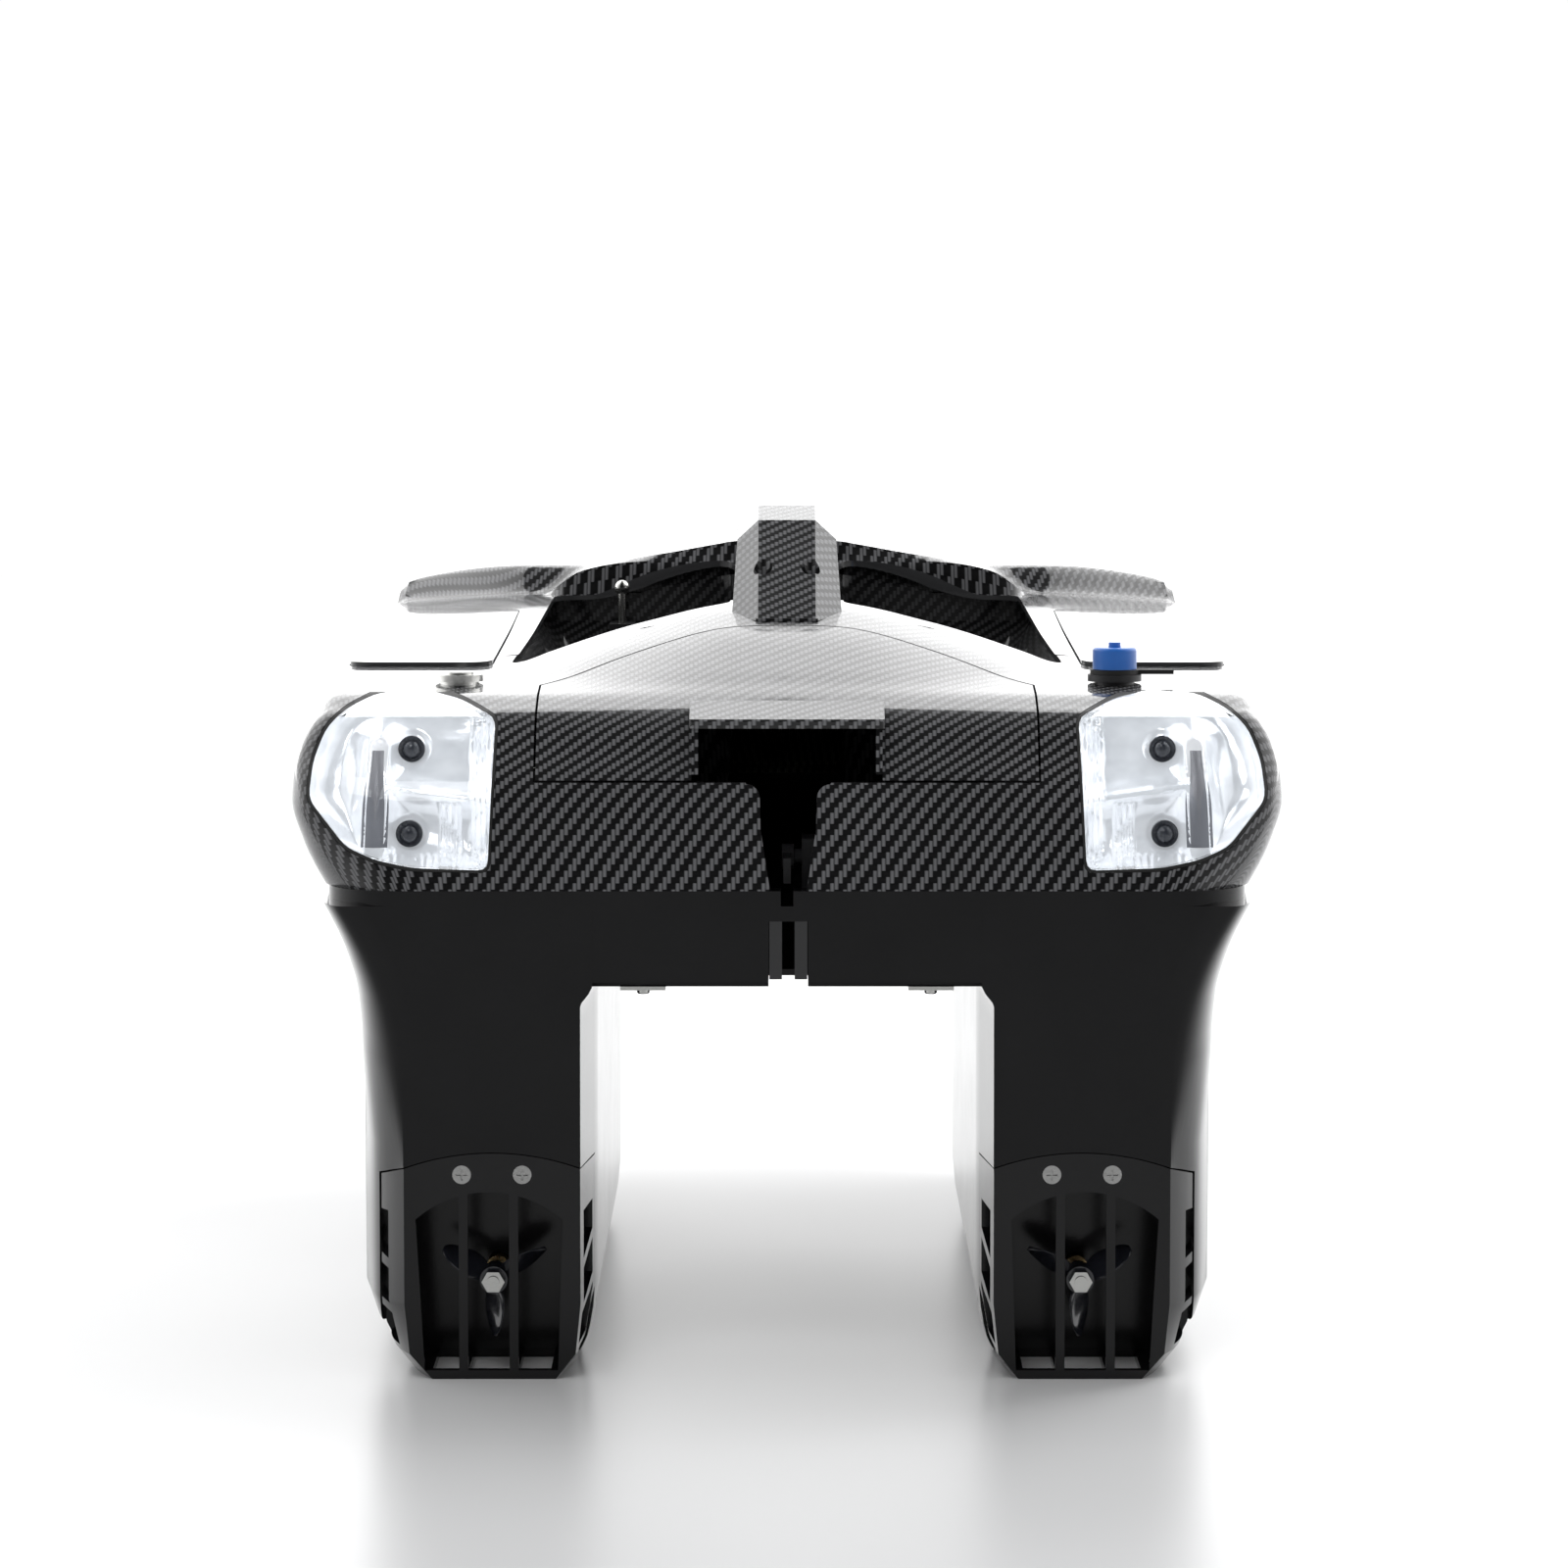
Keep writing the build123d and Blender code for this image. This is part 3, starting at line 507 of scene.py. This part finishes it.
def deck_point(s, t):
    """Point of the deck's outer surface; s runs across and t along the film."""
    side = 1.0 if s >= 0 else -1.0
    a = abs(s)
    arc = EDGE_ROUND * math.pi / 2
    flat = DECK_EDGE - EDGE_ROUND
    drop_run = max(0.0, a - flat - arc)
    if a <= flat:
        x, edge_drop = a, 0.0
    elif a <= flat + arc:
        turn = (a - flat) / EDGE_ROUND
        x, edge_drop = flat + EDGE_ROUND * math.sin(turn), EDGE_ROUND * (1 - math.cos(turn))
    else:
        x, edge_drop = DECK_EDGE, EDGE_ROUND
    y = t
    stern_part = 1.0
    bow_part = 1.0
    if t < FASCIA_Y:
        step = FASCIA_DEPTH * min(1.0, (FASCIA_Y - t) / FASCIA_RUN) ** 0.9
        y = FASCIA_Y - step
        stern_part = (line(FASCIA, step) - RIM_Z) / (EDGE_Z - RIM_Z)
    if t > BOW_LINE_Y:
        step = (t - BOW_LINE_Y) * BOW_DEPTH / BOW_RUN
        y = BOW_LINE_Y + step
        bow_part = (line(BOW_DROP, step) - RIM_Z) / (BOW_TOP_Z - RIM_Z)
    dx = x - CORNER_X
    if dx > 0 and y < FASCIA_Y:
        # Round the stern corner in plan
        reach = DECK_EDGE - CORNER_X
        dy = FASCIA_Y - y
        x = CORNER_X + dx * math.sqrt(1 - dy * dy / (2 * reach * reach))
        y = FASCIA_Y - dy * math.sqrt(1 - dx * dx / (2 * reach * reach))
    x *= line(WIDTH, y) / DECK_EDGE
    top = deck_height(x, min(max(y, FASCIA_Y), BOW_LINE_Y))
    full = top - RIM_Z
    wall = 1.0
    if drop_run > 0 or edge_drop > 0:
        depth = full - EDGE_ROUND
        wall = (full - edge_drop - depth * min(1.0, drop_run / FLANK_RUN)) / full
    z = RIM_Z + full * stern_part * bow_part * wall
    bulge = line(BULGE, z) * smoothstep(120, 178, x)
    return (side * (x + bulge), y, z)


def deck_surface(name):
    """Sheet of the whole deck moulding, with film coordinates."""
    half = DECK_EDGE - EDGE_ROUND + EDGE_ROUND * math.pi / 2 + FLANK_RUN
    columns, rows = 132, 176
    t0 = FASCIA_Y - FASCIA_RUN
    t1 = BOW_LINE_Y + BOW_RUN
    verts, film = [], []
    for j in range(rows + 1):
        t = t0 + (t1 - t0) * j / rows
        for i in range(columns + 1):
            s = -half + 2 * half * i / columns
            verts.append(deck_point(s, t))
            film.append((s * MM, t * MM))
    obj = new_object(name, verts, grid_faces(rows, columns), MAT["carbon"])
    layer = obj.data.uv_layers.new(name="film")
    for loop in obj.data.loops:
        layer.data[loop.index].uv = film[loop.vertex_index]
    merge_doubles(obj, 0.02)
    return obj


# -------------------------------------------------------- cutting the panels


def skin_solid(name, thickness):
    """The deck surface as a closed solid of the given thickness."""
    obj = deck_surface(name)
    thicken(obj, thickness, -1.0)
    bake_modifiers(obj)
    return obj


# Cutters run past the deck's surfaces to these planes
PAST_STERN = -330.0
UNDER_DECK, OVER_DECK = 235.0, 335.0

FASCIA_CUT_Y = -236.0
HATCH_Z = 237.5
# Holes for the power switch and the connector, one on each side
FITTING_X, FITTING_Y, FITTING_RADIUS = 134.0, -212.0, 8.3
LID_REAR, LID_FRONT, LID_RISE = -150.0, 100.0, 1.8
SHARP_ANGLE = 32


def hatch_outline(grow):
    side = 100.0 + grow
    points = [(-side, PAST_STERN), (side, PAST_STERN)]
    steps = 36
    for k in range(steps + 1):
        x = side - 2 * side * k / steps
        points.append((x, -222.0 + grow + 50.0 * (1 - (x / side) ** 2)))
    return points


def hatch_cutter(grow):
    return extrude_outline("cut_hatch", hatch_outline(grow), HATCH_Z - grow, OVER_DECK, "Z")


def notch_cutter():
    outline = [(-38, 215), (38, 215), (38, 264), (-38, 264)]
    return extrude_outline("cut_notch", rounded(outline, 8), PAST_STERN, FASCIA_CUT_Y, "Y")


LAMP_OUTLINE = [(118.5, 203), (148, 204), (163, 207), (175, 212), (190, 230), (188.5, 245),
                (184, 257), (177, 264), (166, 269), (146, 270), (132, 267.5), (116.5, 261)]


def lamp_cutter(grow):
    centre_x, centre_z = 153.0, 237.0
    outline = []
    for x, z in rounded(LAMP_OUTLINE, 4, 3):
        away = Vector((x - centre_x, z - centre_z))
        away = away * (1 + grow / away.length)
        outline.append((centre_x + away.x, centre_z + away.y))
    return extrude_outline("cut_lamp", outline, PAST_STERN, FASCIA_CUT_Y, "Y")


def lid_cutter(grow):
    inner, outer = 124 - grow, 184 + grow
    rear, front = LID_REAR - grow, LID_FRONT + grow
    outline = [(inner, rear), (outer, rear), (outer, front), (inner, front)]
    return extrude_outline("cut_lid", rounded(outline, 9), UNDER_DECK, OVER_DECK, "Z")


def well_cutter():
    outline = [(24, -130), (116, -150), (110, 170), (24, 176)]
    return extrude_outline("cut_well", rounded(outline, 10), UNDER_DECK, OVER_DECK, "Z")


def mouth_cutter():
    outline = [(-7, 180), (8, 180), (8, 197), (11.5, 219)]
    outline += arc_points(17.2, 230.6, 5.4, 180, 90)
    outline += [(19.0, 240.0), (-18.0, 240.0)]
    outline += arc_points(-16.2, 230.6, 5.4, 90, 0)
    outline += [(-10.5, 219), (-7, 197)]
    return extrude_outline("cut_mouth", outline, PAST_STERN, FASCIA_Y, "Y")


def hole_cutter(x):
    outline = arc_points(x, FITTING_Y, FITTING_RADIUS, 0, 360, 32)[:-1]
    return extrude_outline("cut_hole", outline, UNDER_DECK, OVER_DECK, "Z")


def make_deck():
    """Deck, hatch, starboard lid, lens and gasket, all cut from one surface."""
    skin = skin_solid("deck_visual", 2.5)
    thick = skin_solid("lens_visual", 3.0)
    panel = clone(skin, "hatch_visual")
    cover = clone(skin, "lid_starboard_visual")
    seal = clone(skin, "gasket_starboard_visual")
    openings = [hatch_cutter(0.9), mouth_cutter(), hole_cutter(FITTING_X), hole_cutter(-FITTING_X)]
    openings += [lamp_cutter(1.6), lid_cutter(0.5), well_cutter()]
    openings += [flip_x(made) for made in (lamp_cutter(1.6), lid_cutter(0.5), well_cutter())]
    cut(skin, "DIFFERENCE", *openings)
    cut(panel, "INTERSECT", hatch_cutter(0.0))
    cut(panel, "DIFFERENCE", notch_cutter())
    cut(cover, "INTERSECT", lid_cutter(0.0))
    cut(thick, "INTERSECT", lamp_cutter(0.1))
    cut(seal, "INTERSECT", lamp_cutter(1.4))
    cut(seal, "DIFFERENCE", lamp_cutter(0.2))
    # The lid stands a little high at its rear edge, so that its seam shows
    for vertex in cover.data.vertices:
        share = (LID_FRONT * MM - vertex.co.y) / ((LID_FRONT - LID_REAR) * MM)
        vertex.co.z += LID_RISE * MM * share
    for obj in (skin, panel, cover, thick, seal):
        bake_modifiers(obj, SHARP_ANGLE)
    return skin, panel, cover, thick, seal


# ------------------------------------------------------------------- lamps

LAMP_CENTRE = (152.0, 236.0)
SOCKETS = ((150.0, 248.0), (150.0, 216.0))
DIVIDER_LINE = ((163.5, 208), (162.5, 249))
RIB_LINE = ((158, 234.3), (119, 229.0))


def segment_distance(x, z, a, b):
    """Distance from (x, z) to the segment from a to b."""
    ax, az = a
    bx, bz = b
    t = ((x - ax) * (bx - ax) + (z - az) * (bz - az)) / ((bx - ax) ** 2 + (bz - az) ** 2)
    t = min(1.0, max(0.0, t))
    return math.hypot(x - ax - t * (bx - ax), z - az - t * (bz - az))


def cell_depth(x, z, edge):
    """Depth of the reflector's bowls behind the lens; ridges stay near it."""
    divider = max(0.0, segment_distance(x, z, *DIVIDER_LINE) - 4.2)
    rib = max(0.0, segment_distance(x, z, *RIB_LINE) - 0.8)
    near = min(edge, divider, rib)
    depth = 3.6 + 10.0 * (1 - math.exp(-near / 4.0))
    for sx, sz in SOCKETS:
        depth += 1.6 * (1 - smoothstep(5.0, 8.0, math.hypot(x - sx, z - sz)))
    flutes = (1 - smoothstep(124.5, 127.0, x)) * math.cos((x - 118.5) * math.pi / 1.05)
    ticks = (1 - smoothstep(206.5, 209.0, z)) * math.cos(x * math.pi / 1.5)
    fluted_bulb = smoothstep(129.5, 130.5, x) * (1 - smoothstep(137.5, 138.5, x))
    fluted_bulb *= 1 - smoothstep(227, 228.5, z)
    fluted_bulb *= 0.9 * math.cos((x - 134) * math.pi / 1.1) - 2.0
    return depth + 1.1 * flutes + 0.7 * ticks + fluted_bulb


def front_of(surface, x, z):
    """Outermost y of a surface seen from the stern at (x, z), in millimetres."""
    hit, place, _, _ = surface.ray_cast((x * MM, -0.4, z * MM), (0, 1, 0))
    return place.y / MM if hit else None


def make_reflector(surface):
    """Plated bowls and ridges behind a lens, in rings that close in on the lamp's centre."""
    outline = rounded(LAMP_OUTLINE, 4, 6)
    around = []
    for k in range(len(outline)):
        a, b = Vector(outline[k]), Vector(outline[(k + 1) % len(outline)])
        parts = max(1, int((b - a).length / 0.7))
        around += [a.lerp(b, i / parts) for i in range(parts)]
    centre = Vector(LAMP_CENTRE)
    rings = 44
    verts = []
    n = len(around)
    for j in range(rings + 1):
        share = 1.0 - (j / rings) ** 1.15 * 0.985
        for p in around:
            q = centre + (p - centre) * share
            inner = centre + (q - centre) * 0.985
            edge = (p - centre).length * (1 - share)
            front = front_of(surface, inner.x, inner.y)
            depth = cell_depth(q.x, q.y, edge)
            if front is None:
                front = verts[-1][1] - depth if verts else -270.0
            verts.append((q.x, front + depth, q.y))
    faces = ring_faces(rings + 1, n)
    faces.append([rings * n + i for i in range(n)])
    obj = new_object("reflector_visual", verts, faces, MAT["chrome"])
    fix_normals(obj)
    thicken(obj, 1.0, 1.0)
    bake_modifiers(obj, 50)
    return obj


def lathe(name, profile, centre, material, steps=24):
    """Turned part along Y; profile is (y, radius) from stern to bow, closed at both ends."""
    x0, z0 = centre
    verts = []
    for y, radius in profile:
        for k in range(steps):
            angle = 2 * math.pi * k / steps
            verts.append((x0 + radius * math.cos(angle), y, z0 + radius * math.sin(angle)))
    faces = ring_faces(len(profile), steps)
    faces.append(list(range(steps)))
    faces.append([len(verts) - steps + i for i in range(steps)])
    obj = new_object(name, verts, faces, material)
    fix_normals(obj)
    return obj


def join(objs, name):
    """One object from several, keeping each face's material."""
    bm = bmesh.new()
    materials = []
    for obj in objs:
        if obj.data.materials[0] not in materials:
            materials.append(obj.data.materials[0])
        start = len(bm.faces)
        bm.from_mesh(obj.data)
        bm.faces.ensure_lookup_table()
        for face in bm.faces[start:]:
            face.material_index = materials.index(obj.data.materials[0])
    mesh = bpy.data.meshes.new(name)
    bm.to_mesh(mesh)
    bm.free()
    for material in materials:
        mesh.materials.append(material)
    remove(*objs)
    result = bpy.data.objects.new(name, mesh)
    bpy.context.scene.collection.objects.link(result)
    return result


def make_divider(surface):
    """Grey bar between the two bulbs' cell and the outer cell."""
    low, high, steps = 211.0, 247.5, 24
    offsets = (-1.0, -0.6, 0.0, 0.6, 1.0)
    verts = []
    for j in range(steps + 1):
        z = low + (high - low) * j / steps
        half = 4.9 - 1.9 * smoothstep(225, 246, z)
        for offset in offsets:
            x = 163.4 - 0.6 * (z - low) / (high - low) + offset * half
            front = front_of(surface, x, z)
            verts.append((x, front + 4.0 + 1.2 * abs(offset) ** 3, z))
    obj = new_object("divider", verts, grid_faces(steps, len(offsets) - 1), MAT["divider"])
    thicken(obj, 0.8, 1.0)
    bake_modifiers(obj, 40)
    return obj


def make_sockets(surface):
    """Dark sockets of the two bulbs, each with a domed bulb inside."""
    made = []
    for x, z in SOCKETS:
        y = front_of(surface, x, z) + 9.0
        cup = [(y, 4.9), (y - 0.3, 5.2), (y + 0.6, 5.4), (y + 6, 5.2)]
        bulb = [(y - 2.6, 0.6), (y - 2.0, 2.2), (y - 0.6, 3.4), (y + 1.5, 3.8), (y + 5, 3.8)]
        made.append(lathe("socket", cup, (x, z), MAT["socket"]))
        made.append(lathe("bulb", bulb, (x, z), MAT["socket"]))
    made.append(make_divider(surface))
    return join(made, "lamp_bulbs_visual")


deck, hatch, lid, lens, gasket = make_deck()
reflector = make_reflector(lens)
sockets = make_sockets(lens)
set_material(lens, "clear")
set_material(gasket, "rubber")
finish_piece(deck, "hull", "deck_shell")
finish_piece(hatch, "stern_hatch", "stern_hatch")
finish_pair(lid, "lid_port_visual", "side_lid", ("lid_starboard", "lid_port"))
finish_pair(lens, "lens_port_visual", "lamp_lens")
finish_pair(reflector, "reflector_port_visual", "lamp_reflector")
finish_pair(sockets, "lamp_bulbs_port_visual", "lamp_bulbs")
finish_pair(gasket, "gasket_port_visual", "lamp_gasket")

# ------------------------------------------------------------ pontoon shells

# Curves by height: the inner and outer wall's x at the stern face and amidships, and the prow's y
HULL_IN_STERN = [(0, 94), (3, 88), (8, 84), (14, 82.3), (30, 82), (149, 81.8), (157, 77), (189, 77)]
HULL_IN_MID = [(0, 84), (10, 80), (30, 77), (189, 77)]
HULL_OUT_STERN = [(0, 139), (3, 145), (8, 149.5), (14, 151.4), (30, 152), (128, 152.3), (143, 155),
                  (164, 162), (180, 170.5), (189, 176)]
HULL_OUT_MID = [(0, 152), (30, 172), (128, 172), (150, 173.5), (170, 179), (189, 188)]
HULL_PROW = [(0, 168), (10, 192), (30, 222), (128, 262), (189, 277.5)]
HULL_LEVELS = [0, 1, 2.5, 4.5, 8, 13, 20, 30, 50, 75, 92, 110, 128, 136, 143, 149, 151, 154, 157, 160,
               165, 170, 176, 182, 186, 189]
HULL_CENTRE = 117.0
STERN_Y = -300.0
CORNER_RUN = 62.0
GUARD_HALF, GUARD_SIDE_Z, GUARD_CROWN, GUARD_FRONT = 46.0, 80.4, 10.5, -249.6


def stern_corner(run, z):
    """Share of the flank's width reached at a distance forward of the stern face."""
    low = line([(0, 0.0), (25, 0.65), (65, 1.0)], run)
    turn = min(1.0, run / CORNER_RUN)
    high = math.sqrt(1 - (1 - turn) ** 2)
    blend = smoothstep(92, 128, z)
    return low + (high - low) * blend


def hull_ring(z):
    """Outline of the starboard pontoon at height z, anticlockwise from the inner stern corner."""
    in_s, in_m = line(HULL_IN_STERN, z), line(HULL_IN_MID, z)
    out_s, out_m = line(HULL_OUT_STERN, z), line(HULL_OUT_MID, z)
    prow = line(HULL_PROW, z)
    ring = []
    face_steps, side_steps = 10, 46
    for k in range(face_steps + 1):
        ring.append((in_s + (out_s - in_s) * k / face_steps, STERN_Y))
    for k in range(1, side_steps + 1):
        t = (k / side_steps) ** 1.7
        y = STERN_Y + (prow - STERN_Y) * t
        half_x = out_s + (out_m - out_s) * stern_corner(y - STERN_Y, z) - HULL_CENTRE
        narrow = max(0.0, (y - 20) / (prow - 20))
        ring.append((HULL_CENTRE + half_x * max(0.0, 1 - narrow ** 2.4) ** 0.75, y))
    for k in range(1, side_steps):
        t = 1 - k / side_steps
        y = STERN_Y + (prow - STERN_Y) * t
        grow = min(1.0, (y - STERN_Y) / CORNER_RUN)
        half_x = HULL_CENTRE - (in_s + (in_m - in_s) * grow)
        narrow = max(0.0, (y - 60) / (prow - 60))
        ring.append((HULL_CENTRE - half_x * max(0.0, 1 - narrow ** 2.6) ** 0.75, y))
    return ring


def make_hull():
    """Starboard pontoon, with the arched recess that holds its propeller guard."""
    verts = [(x, y, z) for z in HULL_LEVELS for x, y in hull_ring(z)]
    n = len(verts) // len(HULL_LEVELS)
    faces = ring_faces(len(HULL_LEVELS), n)
    faces.append(list(range(n)))
    faces.append([len(verts) - n + i for i in range(n)])
    obj = new_object("hull_starboard_visual", verts, faces, MAT["hull"])
    fix_normals(obj)
    arch = [(HULL_CENTRE - GUARD_HALF, -20), (HULL_CENTRE + GUARD_HALF, -20)]
    steps = 16
    for k in range(steps + 1):
        across = 1 - 2 * k / steps
        arch.append((HULL_CENTRE + GUARD_HALF * across, GUARD_SIDE_Z + GUARD_CROWN * (1 - across ** 2)))
    cut(obj, "DIFFERENCE", extrude_outline("cut_guard", arch, PAST_STERN, GUARD_FRONT, "Y"))
    bake_modifiers(obj, SHARP_ANGLE)
    return obj


BOW_LIGHT_X, BOW_LIGHT_Z = 150.0, 292.5
BOW_LIGHT_RADIUS, BOW_LIGHT_SWEEP = 5.4, 6.0
BOW_LIGHT_WIDEN, BOW_LIGHT_FLATTEN = 1.8, 0.75


def make_bow_lights():
    """Pair of low dark domes let into the bumpers' crescent faces and swept back with them."""
    profile = [(182.0, 0.6), (182.3, 3.2), (183.4, 5.0), (186.0, BOW_LIGHT_RADIUS), (199.0, BOW_LIGHT_RADIUS)]
    made = []
    for side in (1, -1):
        dome = lathe("bow_light", profile, (0, 0), MAT["socket"], 32)
        for vertex in dome.data.vertices:
            x, y, z = vertex.co
            sweep = side * BOW_LIGHT_SWEEP * x / BOW_LIGHT_RADIUS
            vertex.co = (side * BOW_LIGHT_X * MM + x * BOW_LIGHT_WIDEN, y - sweep,
                         BOW_LIGHT_Z * MM + z * BOW_LIGHT_FLATTEN)
        fix_normals(dome)
        made.append(dome)
    return join(made, "bow_lights_visual")


PAN_REAR, PAN_FRONT, PAN_LOW, PAN_HIGH = -300.0, 268.0, 157.0, 189.0
PAN_WALL = 2.5
PAN_HALF = 77.02


def make_pan():
    """Bridge between the pontoons; its ends meet them flush."""
    side = [(PAN_REAR, PAN_LOW + 1.6), (PAN_REAR + 1.6, PAN_LOW), (PAN_FRONT, PAN_LOW), (PAN_FRONT, PAN_HIGH),
            (PAN_REAR, PAN_HIGH)]
    pan = extrude_outline("pan_visual", side, -PAN_HALF, PAN_HALF, "X")
    rear, front, low = PAN_REAR + PAN_WALL, PAN_FRONT - 3.0, PAN_LOW + PAN_WALL
    inside = [(rear, low), (front, low), (front, 200), (rear, 200)]
    line_slot = [(-7.3, 150), (8.3, 150), (8.3, 183), (-7.3, 183)]
    doorway = [(26, -108), (71, -108), (71, 108), (26, 108)]
    cut(pan, "DIFFERENCE",
        extrude_outline("cut_pan", inside, -74.0, 74.0, "X"),
        extrude_outline("cut_slot", line_slot, STERN_Y - 1, FASCIA_Y, "Y"),
        extrude_outline("cut_door", doorway, 150.0, 165.0, "Z"),
        flip_x(extrude_outline("cut_door", doorway, 150.0, 165.0, "Z")))
    set_material(pan, "hull")
    bake_modifiers(pan, SHARP_ANGLE)
    return pan


finish_piece(make_bow_lights(), "hull", "bow_lights")
finish_pair(make_hull(), "hull_port_visual", "hull_shell")
finish_piece(make_pan(), "hull", "bridge_pan")

# ------------------------------------------------- rounded edges on CAD nodes

EDGE_BEVELS = {"prop_guard_starboard": 0.9, "prop_guard_port": 0.9, "carry_handle": 1.2,
               "slot_cheek_plates": 0.5, "hatch_hood": 1.6, "rim_band": 0.5}


def bevel(obj, width):
    mod = obj.modifiers.new("round", "BEVEL")
    mod.width = width * MM
    mod.segments = 3
    mod.limit_method = "ANGLE"
    mod.angle_limit = math.radians(30)


for node_name, bevel_width in EDGE_BEVELS.items():
    bevel(NODES[node_name], bevel_width)

# -------------------------------------------------------- stage, light, view

DOME_LIGHT = 0.55
WALL_LIGHT = 2.6
ROOM_LIGHT = 0.012
BACKDROP = 1.02


def make_floor():
    """Pale studio floor with a soft reflection."""
    bpy.ops.mesh.primitive_plane_add(size=12)
    floor = bpy.context.object
    floor.name = "floor"
    g = Finish("studio_floor")
    soft = g.noise(3.0, 2.0)
    g.set(Base_Color=g.colour_ramp(soft, (0.70, 0.705, 0.71), (0.76, 0.763, 0.77)), Specular_IOR_Level=0.3)
    g.set(Roughness=g.ramp(soft, 0.25, 0.36))
    floor.data.materials.append(g.material)


def make_world():
    """Bright wall behind and beside the boat, dark room above and behind the camera."""
    world = bpy.data.worlds.new("studio")
    bpy.context.scene.world = world
    world.use_nodes = True
    g = Graph(world.node_tree)
    coords = g.node("ShaderNodeTexCoord").outputs["Generated"]
    parts = g.node("ShaderNodeSeparateXYZ", {0: coords})
    sideways = g.math("ABSOLUTE", parts.outputs[0])
    reach = g.math("ADD", parts.outputs[1], g.math("MULTIPLY", sideways, 2.8))
    wall = g.ramp(reach, ROOM_LIGHT, WALL_LIGHT, 0.68, 0.73, "SMOOTHSTEP")
    facing = g.ramp(parts.outputs[1], 0.10, 1.0, -0.75, 0.35, "SMOOTHSTEP")
    mirrored = g.math("MULTIPLY", wall, facing)
    # Diffuse light comes from an even dome, and the view sees a plain white backdrop
    path = g.node("ShaderNodeLightPath")
    soft = g.blend(path.outputs["Is Diffuse Ray"], mirrored, DOME_LIGHT)
    seen = g.blend(path.outputs["Is Camera Ray"], soft, BACKDROP)
    background = g.tree.nodes["Background"]
    g.put(background.inputs["Strength"], seen)
    g.put(background.inputs["Color"], (1, 1, 1, 1))


def area_light(name, location, target, size, power):
    """Square softbox that doesn't show in gloss."""
    data = bpy.data.lights.new(name, "AREA")
    data.shape = "RECTANGLE"
    data.size = data.size_y = size
    data.energy = power
    obj = bpy.data.objects.new(name, data)
    obj.location = location
    obj.rotation_euler = (Vector(target) - Vector(location)).to_track_quat("-Z", "Y").to_euler()
    bpy.context.scene.collection.objects.link(obj)
    obj.visible_glossy = False


def make_camera():
    data = bpy.data.cameras.new("camera")
    data.lens = 128.7
    data.sensor_width = 36.0
    obj = bpy.data.objects.new("camera", data)
    obj.location = (-0.0012, -2.5, 0.430)
    obj.rotation_euler = (math.radians(85.0), 0, 0)
    bpy.context.scene.collection.objects.link(obj)
    bpy.context.scene.camera = obj


make_floor()
make_world()
area_light("top_softbox", (0.9, 0.7, 1.7), (0, 0, 0.1), 0.9, 17)
area_light("stern_key", (-0.5, -1.7, 2.1), (0, -0.2, 0.2), 0.8, 9)
bpy.context.scene.view_settings.view_transform = "Standard"
make_camera()
